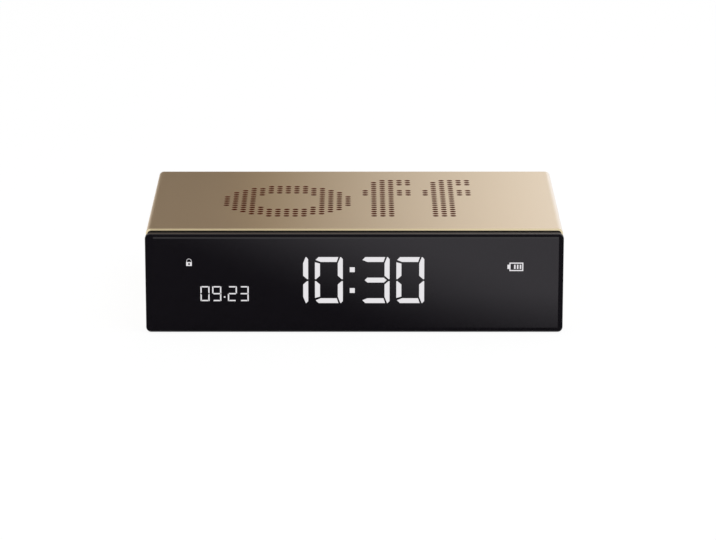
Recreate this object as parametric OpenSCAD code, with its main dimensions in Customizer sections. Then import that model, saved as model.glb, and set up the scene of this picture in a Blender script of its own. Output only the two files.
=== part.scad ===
// Reversible bedside alarm clock: a perforated aluminium sleeve with a full-width
// smoked lens in front, a display module behind it and a tray of electronics inside.
// Millimetres. X to the right, Y to the back, Z up; origin at the middle of the base.

/* [Body] */
// Overall width, left to right
body_w = 131; // [122:1:150]
// Overall depth, lens face to the sleeve's rear edge
body_d = 83.5; // [80:0.5:100]
// Overall height
body_h = 32.5; // [31:0.5:40]
// Radius of the four long edges, on sleeve and lens
edge_r = 1.6; // [0.8:0.1:2.4]
// Wall of the extruded sleeve
sleeve_wall = 1.8; // [1.4:0.1:2.4]
// Radius of the sleeve's inner corners
inner_r = 0.8; // [0.4:0.1:1.2]
// Polished chamfer round the sleeve's two ends
end_chamfer = 0.5; // [0.2:0.1:0.9]
// Outside diameter of the screw ports in the sleeve's corners
port_d = 5.2; // [4.4:0.1:6]
// Distance of a port's centre from the sleeve's inner walls
port_inset = 2.2; // [1.9:0.1:2.6]

/* [Lettering] */
// Diameter of one perforation
hole_d = 1.7; // [1:0.1:1.9]
// Distance between perforations, both ways
hole_pitch = 2.8; // [2.4:0.1:3]
// Distance of the first row of perforations from the lens face
word_front = 22.3; // [19:0.1:24]
// Sideways place of the upper word
upper_word_x = -2.1; // [-6:0.1:6]
// Thickness of the dust meshes under the perforations
mesh_t = 0.3; // [0.2:0.05:0.5]
// Margin of a dust mesh round its word
mesh_margin = 3; // [2:0.5:5]

/* [Front] */
// Thickness of the smoked lens
lens_t = 3.2; // [2.4:0.1:4]
// Width of the lens's bevelled rim
lens_bevel_w = 1.5; // [0.6:0.05:2]
// Depth of the lens's bevelled rim
lens_bevel_t = 0.45; // [0.2:0.05:0.9]
// How far the lens's long edges stand inside the sleeve's faces, which take the weight
lens_inset = 0.35; // [0.1:0.05:0.5]
// Thickness of the bonding tape behind the lens
tape_t = 0.2; // [0.1:0.05:0.3]
// Width of the bonding tape's frame
tape_w = 3; // [2:0.1:4]
// Thickness of the bezel's flange, seen as a dark line
flange_t = 2; // [0.8:0.1:3]
// How far the flange stands back from the outline
flange_inset = 0.6; // [0.3:0.1:1]
// Length of the bezel's tongues inside the sleeve
tongue_l = 6; // [4:0.5:8]
// Thickness of the bezel's tongues
tongue_t = 1.6; // [1.2:0.1:2]
// Thickness of the touch film
film_t = 0.25; // [0.15:0.05:0.35]
// Width of the touch film's tail
film_tail_w = 8; // [5:0.5:12]

/* [Display] */
// Height of the time digits
digit_h = 15.2; // [12:0.1:16]
// Width of a time digit
digit_w = 9; // [7:0.1:9.4]
// Stroke of a time digit
digit_stroke = 1.85; // [1.4:0.05:2.1]
// Step from one time digit to the next
digit_step = 10.85; // [10.4:0.05:11.4]
// Room for the colon between the two pairs of digits
colon_room = 5.65; // [4.5:0.05:6.5]
// Distance between the two dots of the colon
colon_step = 6.75; // [5:0.05:8]
// Sideways place of the time
time_x = -0.6; // [-3:0.1:3]
// Height of the time's centre above the middle of the front
time_rise = 1; // [-1:0.05:1.5]
// Height of the date digits
date_h = 5.1; // [4:0.1:6]
// Width of a date digit
date_w = 3.17; // [2.6:0.01:3.4]
// Stroke of a date digit
date_stroke = 0.65; // [0.45:0.05:0.75]
// Step from one date digit to the next
date_step = 3.74; // [3.6:0.01:4]
// Extra room for the dot between day and month
date_dot_room = 1.21; // [0.9:0.01:1.6]
// Distance of the date from the left edge
date_inset = 16.96; // [15:0.1:18]
// Height of the foot of the date below the middle of the front
date_drop = 5.95; // [5:0.05:7]
// Distance of the lock sign's centre from the left edge
lock_inset = 13.7; // [12:0.1:16]
// Width of the lock sign
lock_w = 2.04; // [1.6:0.02:2.6]
// Height of the lock sign's body
lock_h = 1.56; // [1.2:0.02:2]
// Height of the lock sign's foot above the middle of the front
lock_rise = 5.45; // [4:0.05:6]
// Distance of the battery sign's right end from the right edge
gauge_inset = 12.42; // [11:0.1:15]
// Width of the battery sign without its nub
gauge_w = 4.48; // [3.6:0.02:5.4]
// Height of the battery sign
gauge_h = 2.98; // [2.4:0.02:3.6]
// Height of the battery sign's foot above the middle of the front
gauge_rise = 3.85; // [2.5:0.05:5]
// Line width of the signs
sign_line = 0.45; // [0.35:0.05:0.55]
// Distance of the light guide housing from the left and right edges
housing_margin_x = 8.5; // [8:0.1:10]
// Distance of the light guide housing from the upper and lower edges
housing_margin_z = 5.25; // [4.6:0.05:5.6]
// Depth of the light guide housing
housing_t = 6; // [4.5:0.1:7]
// Depth of the light guides in it
guide_t = 2.4; // [1.5:0.1:3.5]
// Thickness of the display board
display_board_t = 1.2; // [0.8:0.1:1.6]
// Height of an LED chip
led_t = 0.6; // [0.4:0.1:0.9]
// Width of an LED chip under the time
led_w = 1; // [0.6:0.1:1.3]
// Width of an LED chip under the date
small_led_w = 0.4; // [0.3:0.05:0.45]

/* [Rear] */
// How far the rear cover stands inside the sleeve's rear edge
cover_recess = 1.2; // [0.9:0.1:2]
// Thickness of the rear cover
cover_t = 2.4; // [2:0.1:3]
// Width of a button cap
cap_w = 8; // [7:0.1:9]
// Height of a button cap
cap_h = 4.5; // [4:0.1:5]
// How far a button cap stands out of the rear cover
cap_proud = 0.6; // [0.3:0.1:0.8]
// Retaining lip round a button cap
cap_lip = 0.8; // [0.5:0.1:1]
// Thickness of the retaining lip
cap_lip_t = 1; // [0.8:0.1:1.4]
// Sideways place of the first button
first_button_x = -47; // [-48:0.5:-44]
// Step from one button to the next
button_step = 12.5; // [12:0.1:13]
// Travel of a button
button_travel = 0.5; // [0.3:0.05:0.8]
// Side of a tact switch
switch_w = 6; // [5:0.1:6.5]
// Height of a tact switch's body
switch_t = 3.5; // [3:0.1:4.5]
// Height left above a switch when its button is pressed
press_room = 1; // [0.7:0.1:1.4]
// Diameter of a switch plunger
plunger_d = 3.4; // [2.8:0.1:3.8]
// Thickness of the button board
button_board_t = 1.6; // [1:0.1:2]
// Width of the USB-C shell
usb_w = 8.94; // [8.6:0.02:9.2]
// Height of the USB-C shell
usb_h = 3.26; // [3:0.02:3.5]
// Length of the USB-C shell
usb_l = 7.35; // [6.5:0.05:9]
// Sheet thickness of the USB-C shell
usb_wall = 0.3; // [0.2:0.05:0.4]

/* [Inside] */
// Thickness of the tray's floor
tray_t = 1.5; // [1.2:0.1:2]
// Height of the tray's side rails
rail_h = 5; // [4:0.5:8]
// Thickness of the tray's rails and ribs
rail_t = 1.5; // [1:0.1:2]
// Outside diameter of a screw post
post_d = 5; // [4.4:0.1:5.6]
// Width of the main board
main_board_w = 54; // [50:0.5:56]
// Room between the display board and the main board, for the ribbon and leads
main_board_gap = 7.85; // [7:0.05:11]
// Thickness of the main board
main_board_t = 1.6; // [1:0.1:2]
// Distance of the main board's holes from its edges
board_hole_inset = 3.2; // [3:0.1:4]
// Width of the battery cell
battery_w = 42; // [34:0.5:44]
// Length of the battery cell
battery_l = 34; // [28:0.5:36]
// Thickness of the battery cell
battery_t = 7.5; // [5:0.1:9]
// Corner radius of the battery cell
battery_r = 2; // [1:0.1:3]
// Thickness of the foam pad under the battery
pad_t = 0.8; // [0.5:0.1:1.5]
// Free height between battery and main board
battery_clear = 1.1; // [0.6:0.1:2]
// Diameter of the speaker's flange
speaker_d = 36; // [32:0.5:38]
// Depth of the speaker's basket below its flange
basket_h = 5.7; // [5:0.1:7]
// Thickness of the speaker's flange
speaker_flange_t = 1.2; // [0.8:0.1:1.6]
// Diameter of the speaker's magnet
magnet_d = 22; // [18:0.5:24]
// Thickness of the speaker's magnet
magnet_t = 4; // [3:0.1:5]
// Thickness of the speaker's foam gasket
gasket_t = 2; // [1.8:0.1:3]
// Diameter of the insulated leads
lead_d = 1.2; // [0.8:0.1:1.4]
// Outside diameter of the tilt sensor's can
tilt_can_d = 5; // [4.6:0.1:6]
// Height of the tilt sensor's can
tilt_can_h = 6; // [5.5:0.1:7]
// Wall of the tilt sensor's can
tilt_can_wall = 0.5; // [0.3:0.05:0.6]
// Diameter of the tilt sensor's ball
tilt_ball_d = 3.4; // [3:0.1:3.6]

/* [Screws] */
// Thread diameter of the screws
screw_d = 1.8; // [1.4:0.1:2]
// Head diameter of the screws
screw_head_d = 3.6; // [3:0.1:3.8]
// Head height of the screws
screw_head_h = 1.1; // [0.8:0.1:1.3]
// Head height of the flat screws under the lens
flat_head_h = 0.5; // [0.3:0.05:0.55]
// Length of the screws under their heads
screw_l = 5; // [4:0.5:6]
// Width of the driver cross in the screw heads
cross_w = 0.5; // [0.4:0.05:0.6]

/* [Fits] */
// Gap between a screw and its bore, on the radius
screw_clear = 0.03; // [0.02:0.01:0.05]
// Gap between parts that slide into each other
slide_clear = 0.15; // [0.1:0.05:0.25]
// Gap round a button and round a plunger
button_clear = 0.2; // [0.1:0.05:0.3]
// Gap between a retaining lip and the cover behind it
lip_clear = 0.05; // [0.03:0.01:0.1]
// Endwise gap of the tray
tray_clear = 0.2; // [0.1:0.05:0.4]
// Sideways gap between boards, ports and rails
board_clear = 0.4; // [0.3:0.05:0.8]
// Room round the light guide housing in the bezel
housing_clear = 0.5; // [0.45:0.05:0.7]

/* [Hidden] */
$fn = 48;
past = 1;

// Planes from front to back
front_y = -body_d / 2;
rear_y = body_d / 2;
lens_back = front_y + lens_t;
flange_front = lens_back + tape_t;
sleeve_front = flange_front + flange_t;
tongue_end = sleeve_front + tongue_l;
film_back = lens_back + film_t;
housing_back = film_back + housing_t;
display_back = housing_back + display_board_t;
cover_back = rear_y - cover_recess;
cover_front = cover_back - cover_t;
lip_back = cover_front - lip_clear;
lip_front = lip_back - cap_lip_t;
plunger_rise = button_travel + press_room;
switch_back = lip_front - plunger_rise;
switch_front = switch_back - switch_t;
button_board_front = switch_front - button_board_t;

// Sleeve cavity and its screw ports
mid_z = body_h / 2;
inner_w = body_w - 2 * sleeve_wall;
inner_h = body_h - 2 * sleeve_wall;
port_x = inner_w / 2 - port_inset;
port_z = inner_h / 2 - port_inset;
port_l = cover_front - sleeve_front;
port_reach = port_inset + port_d / 2 + board_clear;
screw_bore = screw_d + 2 * screw_clear;
head_bore = screw_head_d + 2 * slide_clear;
cross_share = 0.6;

// Tray, battery and main board, from the floor up
floor_z = sleeve_wall;
ceiling_z = body_h - sleeve_wall;
tray_z = floor_z + mesh_t;
tray_top = tray_z + tray_t;
rib_share = 0.6;
pad_share = 0.8;
tray_w = inner_w - 2 * port_reach;
tray_front = tongue_end + tray_clear;
tray_rear = cover_front - tray_clear;
rail_front = max(tray_front, display_back + board_clear);
battery_z = tray_top + pad_t;
battery_top = battery_z + battery_t;
board_z = battery_top + battery_clear;
board_top = board_z + main_board_t;
board_right = tray_w / 2 - rail_t - board_clear;
board_left = board_right - main_board_w;
board_rear = cover_front - board_clear;
board_front = display_back + main_board_gap;
main_board_l = board_rear - board_front;
board_mid_x = (board_left + board_right) / 2;
board_mid_y = (board_front + board_rear) / 2;
usb_z = board_top + usb_h / 2;
usb_mouth = cover_back - lip_clear;

// Words: columns and rows of perforations, counted from the first letter's foot
ring_size = 15;
ring_in = 3.9;
ring_out = 7.45;
stem_h = 18;
upper_cols = 29;
lower_cols = 27;
second_col = 16;
third_col = 23;
ring_mid = (ring_size - 1) / 2;
upper_col_x = upper_word_x - (upper_cols - 1) / 2 * hole_pitch;
lower_col_x = (lower_cols - 1) / 2 * hole_pitch;
word_y = front_y + word_front;

// Speaker under the round letter of the upper word
speaker_x = upper_col_x + ring_mid * hole_pitch;
speaker_y = word_y + ring_mid * hole_pitch;
speaker_top = ceiling_z - mesh_t - gasket_t;
speaker_seat = speaker_top - speaker_flange_t;
basket_z = speaker_seat - basket_h;
basket_wall = 0.8;
basket_lip = 2.5;
basket_foot_edge = 1;
cone_rim_inset = 1.8;
surround_w = 1.3;
cone_lift = 2.4;
cone_t = 0.45;
coil_t = 0.5;
coil_room = 2;
basket_r = speaker_d / 2 - basket_lip;
basket_foot_r = magnet_d / 2 + lead_d + basket_foot_edge;
cone_rim_r = speaker_d / 2 - cone_rim_inset;
cone_r = basket_r - surround_w;
cone_neck_r = magnet_d / 4;
cone_neck_z = basket_z + cone_lift;
speaker_post_r = speaker_d / 2 + screw_d / 2 + screw_clear + board_clear;
speaker_post_angles = [60, 180, 300];
gasket_r = speaker_post_r - screw_head_d / 2 - slide_clear;

// Display cells: left edge of each time and date digit
time_digits = [1, 0, 3, 0];
date_digits = [0, 9, 2, 3];
time_w = 2 * digit_step + 2 * digit_w + colon_room;
time_left = time_x - time_w / 2;
pair_step = digit_step + digit_w + colon_room;
time_z = mid_z + time_rise - digit_h / 2;
date_left = -body_w / 2 + date_inset;
date_z = mid_z - date_drop;
housing_w = body_w - 2 * housing_margin_x;
housing_h = body_h - 2 * housing_margin_z;
boss_wall = 1.3;
boss_lap = 0.1;
boss_edge = 0.3;
boss_d = screw_d + 2 * boss_wall;
boss_x = housing_w / 2 + housing_clear + boss_d / 2 - boss_lap;
boss_z = housing_h / 4;
display_w = 2 * (boss_x + boss_d / 2 - boss_edge);
screw_end_room = 0.5;
film_tail_x = -housing_w / 4;

// Which of the seven bars, from the top clockwise and the middle last, a figure lights
LIT = [
    [1, 1, 1, 1, 1, 1, 0], [0, 1, 1, 0, 0, 0, 0], [1, 1, 0, 1, 1, 0, 1], [1, 1, 1, 1, 0, 0, 1],
    [0, 1, 1, 0, 0, 1, 1], [1, 0, 1, 1, 0, 1, 1], [1, 0, 1, 1, 1, 1, 1], [1, 1, 1, 0, 0, 0, 0],
    [1, 1, 1, 1, 1, 1, 1], [1, 1, 1, 1, 0, 1, 1]
];

// Buttons and what carries their board
button_boss_z = cap_h / 2 + cap_lip + boss_d / 2 + board_clear;
switch_margin = 3;
boss_margin = 0.5;
button_board_w = 3 * button_step + switch_w + 2 * switch_margin;
button_board_h = 2 * button_boss_z + boss_d + 2 * boss_margin;
button_mid_x = first_button_x + 1.5 * button_step;
plunger_depth = 1.5;

// Leads and their plugs, with each plug's distance from the main board's edges
plug_w = 5;
plug_l = 4.5;
plug_h = 3.2;
socket_t = 1;
lead_step = 2;
battery_plug_inset = [16, 4];
side_plug_inset = 3;
button_plug_inset = 22;
ribbon_inset = 16;
plug_x = board_left + battery_plug_inset.x;
plug_front = board_front + battery_plug_inset.y;
plug_left = board_left + side_plug_inset;
button_plug_y = board_rear - button_plug_inset;
lead_z = board_top + socket_t + plug_h / 2;
ribbon_w = 10;
ribbon_t = 0.3;
ribbon_x = board_right - ribbon_inset;
ribbon_socket_l = 3;
ribbon_socket_h = 2;
lead_rings = 14;
lead_sides = 8;

// Tilt sensor on the main board
tilt_inset = [10, 18];
tilt_x = board_left + tilt_inset.x;
tilt_y = board_front + tilt_inset.y;
tilt_gap = 0.05;

// A flat plate of a front-view outline, from y forward to back
module plate(y, t) {
    translate([0, y + t, 0]) rotate([90, 0, 0]) linear_extrude(t) children();
}

// A bar along Y of a given diameter
module bar(x, z, y, l, d) {
    translate([x, y, z]) rotate([-90, 0, 0]) cylinder(d = d, h = l);
}

// A rectangle with round corners, about its centre
module round_rect(w, h, r) {
    square([w - 2 * r, h], center = true);
    square([w, h - 2 * r], center = true);
    for (x = [-1, 1], y = [-1, 1])
        translate([x * (w / 2 - r), y * (h / 2 - r)]) circle(r);
}

// The front-view outline, drawn in by some distance
module outline(inset) {
    translate([0, mid_z]) round_rect(body_w - 2 * inset, body_h - 2 * inset, max(edge_r - inset, 0.3));
}

// The sleeve's cavity, drawn in by some distance
module cavity(inset) {
    translate([0, mid_z]) round_rect(inner_w - 2 * inset, inner_h - 2 * inset, inner_r);
}

// The four corners where the screw ports are
module at_ports() {
    for (x = [-1, 1], z = [-1, 1]) translate([x * port_x, mid_z + z * port_z]) children();
}

// A screw with its head towards -Y and its head's seat at y = 0
module screw_y(head_h, l) {
    rotate([-90, 0, 0]) {
        difference() {
            translate([0, 0, -head_h]) cylinder(d = screw_head_d, h = head_h);
            for (a = [0, 90])
                rotate(a) translate([0, 0, -head_h])
                    cube([screw_head_d * cross_share, cross_w, head_h], center = true);
        }
        cylinder(d = screw_d, h = l);
    }
}

// A screw with its head up and its head's seat at z = 0
module screw_down(l) {
    rotate([-90, 0, 0]) screw_y(screw_head_h, l);
}

// Perforations of the round letter: a ring on a square grid
function in_ring(i, j) = let (r = norm([i - ring_mid, j - ring_mid])) r > ring_in && r < ring_out;

// Perforations of the letter with a stem, a crossbar and a hook
function in_hook(i, j) =
    (i >= 1 && i <= 3 && !(i == 1 && j == stem_h - 1)) || (j >= 10 && j <= 12) ||
    (i >= 4 && j >= stem_h - 3);

// Perforations of the letter with two stems under an arch
function in_arch(i, j) =
    let (r = norm([i - 5, j - 8.5])) i <= 2 || (i >= 8 && j <= 8) || (j > 8 && r > 2.4 && r < 6.2);

ring_holes = [for (i = [0:ring_size - 1], j = [0:ring_size - 1]) if (in_ring(i, j)) [i, j]];
hook_holes = [for (i = [0:5], j = [0:stem_h - 1]) if (in_hook(i, j)) [i, j]];
arch_holes = [for (i = [0:10], j = [0:ring_size - 1]) if (in_arch(i, j)) [i, j]];
upper_holes = concat(
    ring_holes, [for (h = hook_holes) h + [second_col, 0]], [for (h = hook_holes) h + [third_col, 0]]
);
lower_holes = concat(ring_holes, [for (h = arch_holes) h + [second_col, 0]]);

module perforations() {
    for (h = upper_holes)
        translate([upper_col_x + h.x * hole_pitch, word_y + h.y * hole_pitch, ceiling_z - past])
            cylinder(d = hole_d, h = sleeve_wall + 2 * past, $fn = 24);
    for (h = lower_holes)
        translate([lower_col_x - h.x * hole_pitch, word_y + h.y * hole_pitch, -past])
            cylinder(d = hole_d, h = sleeve_wall + 2 * past, $fn = 24);
}

// Cutters for the chamfers round one end of the sleeve
module end_cuts(y) {
    side = end_chamfer * sqrt(2);
    for (z = [0, body_h])
        translate([0, y, z]) rotate([45, 0, 0]) cube([body_w + past, side, side], center = true);
    for (x = [-1, 1])
        translate([x * body_w / 2, y, mid_z]) rotate([0, 0, 45])
            cube([side, side, body_h + past], center = true);
}

module aluminium_sleeve() {
    color("#c9b79b") difference() {
        union() {
            plate(sleeve_front, rear_y - sleeve_front) difference() {
                outline(0);
                cavity(0);
            }
            plate(sleeve_front, port_l) at_ports() circle(d = port_d);
            plate(sleeve_front, port_l)
                for (x = [-1, 1], z = [-1, 1])
                    translate([x * (inner_w - port_inset) / 2, mid_z + z * (inner_h - port_inset) / 2])
                        square(port_inset + inner_r / 2, center = true);
        }
        for (x = [-1, 1], z = [-1, 1])
            bar(x * port_x, mid_z + z * port_z, sleeve_front - past, port_l + 2 * past, screw_bore);
        end_cuts(sleeve_front);
        end_cuts(rear_y);
        perforations();
    }
}

module front_bezel() {
    color("#161517") difference() {
        union() {
            plate(flange_front, flange_t) difference() {
                outline(flange_inset);
                translate([0, mid_z])
                    square([housing_w + 2 * housing_clear, housing_h + 2 * housing_clear], center = true);
            }
            plate(sleeve_front, tongue_l) {
                for (s = [-1, 1]) {
                    translate([0, mid_z + s * (inner_h / 2 - slide_clear - tongue_t / 2)])
                        square([inner_w - 2 * port_reach, tongue_t], center = true);
                    translate([s * (inner_w / 2 - slide_clear - tongue_t / 2), mid_z])
                        square([tongue_t, inner_h - 2 * port_reach], center = true);
                }
            }
            for (x = [-1, 1], z = [-1, 1])
                bar(x * boss_x, mid_z + z * boss_z, sleeve_front, housing_back - sleeve_front, boss_d);
        }
        for (x = [-1, 1], z = [-1, 1]) {
            bar(x * boss_x, mid_z + z * boss_z, sleeve_front, housing_back - sleeve_front + past, screw_bore);
            bar(x * port_x, mid_z + z * port_z, flange_front - past, flange_t + 2 * past, screw_bore);
            bar(x * port_x, mid_z + z * port_z, flange_front - past, past + flat_head_h, head_bore);
        }
    }
}

module front_lens() {
    bevel_a = atan2(lens_bevel_t, lens_bevel_w);
    cutter = 10;
    lens_h = body_h - 2 * lens_inset;
    color("#121113") difference() {
        plate(front_y, lens_t) translate([0, mid_z]) round_rect(body_w, lens_h, edge_r);
        for (s = [-1, 1]) {
            translate([0, front_y + lens_bevel_t, mid_z + s * lens_h / 2]) rotate([-s * bevel_a, 0, 0])
                translate([0, -cutter / 2, 0]) cube([body_w + past, cutter, cutter], center = true);
            translate([s * body_w / 2, front_y + lens_bevel_t, mid_z]) rotate([0, 0, s * bevel_a])
                translate([0, -cutter / 2, 0]) cube([cutter, cutter, body_h + past], center = true);
        }
    }
}

module lens_tape() {
    color("#2b2b2d") plate(lens_back, tape_t) difference() {
        outline(flange_inset + slide_clear);
        outline(flange_inset + slide_clear + tape_w);
    }
}

module touch_film() {
    color("#7a5a34") {
        plate(lens_back, film_t) translate([0, mid_z]) square([housing_w, housing_h], center = true);
        plate(lens_back, housing_back - lens_back)
            translate([film_tail_x, mid_z - housing_h / 2 - film_t / 2])
                square([film_tail_w, film_t], center = true);
    }
}

module bezel_screws() {
    color("#55565a")
        for (x = [-1, 1], z = [-1, 1])
            translate([x * port_x, flange_front + flat_head_h, mid_z + z * port_z])
                screw_y(flat_head_h, screw_l);
}

// One bar of a seven-bar figure; the upper and lower bars own the left corners
module figure_bar(k, w, h, t) {
    gap = 0.19 * t;
    half = h / 2;
    upper = [
        [0.05 * t, h - 0.6 * t], [0.65 * t, h], [w - 0.72 * t, h], [w - 1.06 * t, h - t], [1.04 * t, h - t]
    ];
    right = [
        [w - 0.55 * t, h], [w - 0.36 * t, h], [w, h - 0.4 * t], [w, half + gap / 2],
        [w - 0.28 * t, half + gap / 2], [w - t, half + gap / 2 + 0.64 * t], [w - t, h - 1.16 * t]
    ];
    left = [
        [0, h - 0.88 * t], [t, h - 1.16 * t], [t, half + gap / 2 + 0.64 * t],
        [0.28 * t, half + gap / 2], [0, half + gap / 2]
    ];
    middle = [
        [0.46 * t, half], [t, half + 0.5 * t], [w - t, half + 0.5 * t],
        [w - 0.46 * t, half], [w - t, half - 0.5 * t], [t, half - 0.5 * t]
    ];
    if (k == 0) polygon(upper);
    if (k == 1) polygon(right);
    if (k == 2) polygon([for (p = right) [p.x, h - p.y]]);
    if (k == 3) polygon([for (p = upper) [p.x, h - p.y]]);
    if (k == 4) polygon([for (p = left) [p.x, h - p.y]]);
    if (k == 5) polygon(left);
    if (k == 6) polygon(middle);
}

// The middle of one bar, where its LED sits
function bar_middle(k, w, h, t) =
    k == 0 ? [w / 2, h - t / 2] : k == 1 ? [w - t / 2, h * 0.74] : k == 2 ? [w - t / 2, h * 0.26] :
    k == 3 ? [w / 2, t / 2] : k == 4 ? [t / 2, h * 0.26] : k == 5 ? [t / 2, h * 0.74] : [w / 2, h / 2];

function time_cell(n) = [time_left + (n % 2) * digit_step + floor(n / 2) * pair_step, time_z];
function date_cell(n) = [date_left + n * date_step + floor(n / 2) * date_dot_room, date_z];
colon_at = [for (s = [-1, 1]) [time_x, mid_z + time_rise + s * colon_step / 2]];
date_dot_at = [
    date_left + date_step + date_w + (date_step - date_w + date_dot_room) / 2, date_z + date_h * 0.28
];
lock_at = [-body_w / 2 + lock_inset, mid_z + lock_rise];
gauge_at = [body_w / 2 - gauge_inset - gauge_w, mid_z + gauge_rise];

module time_bars(lit) {
    for (n = [0:3], k = [0:6])
        if (LIT[time_digits[n]][k] == lit)
            translate(time_cell(n)) figure_bar(k, digit_w, digit_h, digit_stroke);
    if (lit == 1)
        for (p = colon_at) translate(p) square(digit_stroke, center = true);
}

module date_bars(lit) {
    for (n = [0:3], k = [0:6])
        if (LIT[date_digits[n]][k] == lit)
            translate(date_cell(n)) figure_bar(k, date_w, date_h, date_stroke);
    if (lit == 1) translate(date_dot_at) square(date_stroke, center = true);
}

// Padlock: a body with a keyhole, and a shackle above it
module lock_sign() {
    translate(lock_at) {
        difference() {
            translate([-lock_w / 2, 0]) square([lock_w, lock_h]);
            translate([0, lock_h / 2]) circle(d = sign_line, $fn = 24);
        }
        translate([0, lock_h]) difference() {
            circle(d = lock_w * 0.8, $fn = 32);
            circle(d = lock_w * 0.8 - 2 * sign_line * 0.7, $fn = 32);
            translate([-lock_w, -2 * lock_w]) square(2 * lock_w);
        }
    }
}

// Battery: an outline with its nub on the left and three bars inside
module gauge_sign() {
    room = gauge_h - 4 * sign_line;
    translate(gauge_at) {
        difference() {
            square([gauge_w, gauge_h]);
            translate([sign_line, sign_line]) square([gauge_w - 2 * sign_line, gauge_h - 2 * sign_line]);
        }
        translate([-gauge_w / 6, gauge_h * 0.3]) square([gauge_w / 6, gauge_h * 0.4]);
        for (n = [0:2])
            translate([gauge_w - (3 + 1.6 * n) * sign_line, 2 * sign_line]) square([sign_line, room]);
    }
}

// The plates that carry the two signs
module sign_plates() {
    translate(lock_at + [-lock_w / 2 - sign_line, -sign_line])
        square([lock_w + 2 * sign_line, lock_h + lock_w * 0.4 + 2 * sign_line]);
    translate(gauge_at + [-gauge_w / 6 - sign_line, -sign_line])
        square([gauge_w * 7 / 6 + 2 * sign_line, gauge_h + 2 * sign_line]);
}

module light_guide_housing() {
    color("#e4e2dc") plate(film_back, housing_t) difference() {
        translate([0, mid_z]) square([housing_w, housing_h], center = true);
        for (lit = [0, 1]) {
            time_bars(lit);
            date_bars(lit);
        }
        sign_plates();
    }
}

module time_segments_lit() {
    color("#f2f1f2") plate(film_back, guide_t) time_bars(1);
}

module time_segments_dark() {
    color("#5d5d60") plate(film_back, guide_t) time_bars(0);
}

module date_segments_lit() {
    color("#f2f1f2") plate(film_back, guide_t) date_bars(1);
}

module date_segments_dark() {
    color("#5d5d60") plate(film_back, guide_t) date_bars(0);
}

module status_signs() {
    color("#f2f1f2") {
        plate(film_back, guide_t / 2) {
            lock_sign();
            gauge_sign();
        }
        plate(film_back + guide_t / 2, guide_t / 2) sign_plates();
    }
}

module display_board() {
    color("#1f4d33") plate(housing_back, display_board_t) difference() {
        translate([0, mid_z]) {
            square([inner_w - 2 * port_reach, housing_h + 2 * housing_clear], center = true);
            square([display_w, 2 * boss_z + boss_d], center = true);
        }
        for (x = [-1, 1], z = [-1, 1]) translate([x * boss_x, mid_z + z * boss_z]) circle(d = screw_bore);
    }
}

module display_leds() {
    color("#f4e9a8") plate(housing_back - led_t, led_t) {
        for (n = [0:3], k = [0:6]) {
            translate(time_cell(n) + bar_middle(k, digit_w, digit_h, digit_stroke))
                square(led_w, center = true);
            translate(date_cell(n) + bar_middle(k, date_w, date_h, date_stroke))
                square(small_led_w, center = true);
        }
        for (p = colon_at) translate(p) square(led_w, center = true);
        translate(date_dot_at) square(small_led_w, center = true);
        translate(lock_at + [-lock_w / 3, lock_h / 2]) square(small_led_w, center = true);
        translate(gauge_at + [gauge_w / 2, sign_line / 2]) square(small_led_w, center = true);
    }
}

module display_board_screws() {
    color("#8b8d91")
        for (x = [-1, 1], z = [-1, 1])
            translate([x * boss_x, display_back, mid_z + z * boss_z])
                rotate([0, 0, 180]) screw_y(screw_head_h, display_back - sleeve_front - screw_end_room);
}

// A dust mesh under one word: its outline from above
module mesh_sheet(x, cols) {
    w = cols * hole_pitch + 2 * mesh_margin;
    l = stem_h * hole_pitch + 2 * mesh_margin;
    translate([x - w / 2, word_y - hole_pitch / 2 - mesh_margin]) square([w, min(l, tray_rear - word_y)]);
}

module upper_mesh() {
    color("#3a2419") translate([0, 0, ceiling_z - mesh_t])
        linear_extrude(mesh_t) mesh_sheet(upper_word_x, upper_cols);
}

module lower_mesh() {
    color("#3a2419") translate([0, 0, floor_z]) linear_extrude(mesh_t) mesh_sheet(0, lower_cols);
}

// The main board's four holes, seen from above
module at_board_holes() {
    for (x = [board_left + board_hole_inset, board_right - board_hole_inset])
        for (y = [board_front + board_hole_inset, board_rear - board_hole_inset])
            translate([x, y, 0]) children();
}

// The speaker's three posts, seen from above
module at_speaker_posts() {
    for (a = speaker_post_angles)
        translate([speaker_x + speaker_post_r * cos(a), speaker_y + speaker_post_r * sin(a), 0]) children();
}

module inner_tray() {
    color("#2c2d30") difference() {
        union() {
            translate([-tray_w / 2, tray_front, tray_z]) cube([tray_w, tray_rear - tray_front, tray_t]);
            for (x = [-tray_w / 2, tray_w / 2 - rail_t])
                translate([x, rail_front, tray_z]) cube([rail_t, tray_rear - rail_front, rail_h]);
            translate([board_mid_x, board_mid_y, tray_z + rail_h / 2])
                for (s = [-1, 1]) {
                    translate([0, s * (battery_l / 2 + slide_clear + rail_t / 2), 0])
                        cube([battery_w * rib_share, rail_t, rail_h], center = true);
                    translate([s * (battery_w / 2 + slide_clear + rail_t / 2), 0, 0])
                        cube([rail_t, battery_l * rib_share, rail_h], center = true);
                }
            at_board_holes() translate([0, 0, tray_z]) cylinder(d = post_d, h = board_z - tray_z);
            at_speaker_posts() translate([0, 0, tray_z]) cylinder(d = post_d, h = speaker_seat - tray_z);
        }
        translate([speaker_x, speaker_y, tray_z - past]) cylinder(d = magnet_d, h = tray_t + 2 * past);
        at_board_holes() translate([0, 0, tray_top]) cylinder(d = screw_bore, h = board_z);
        at_speaker_posts() translate([0, 0, tray_top]) cylinder(d = screw_bore, h = speaker_seat);
    }
}

module battery_pad() {
    color("#3b3b3d") translate([board_mid_x, board_mid_y, tray_top + pad_t / 2])
        cube([battery_w * pad_share, battery_l * pad_share, pad_t], center = true);
}

module battery_cell() {
    color("#a9adb3") translate([board_mid_x, board_mid_y, battery_z])
        linear_extrude(battery_t) round_rect(battery_w, battery_l, battery_r);
}

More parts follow.
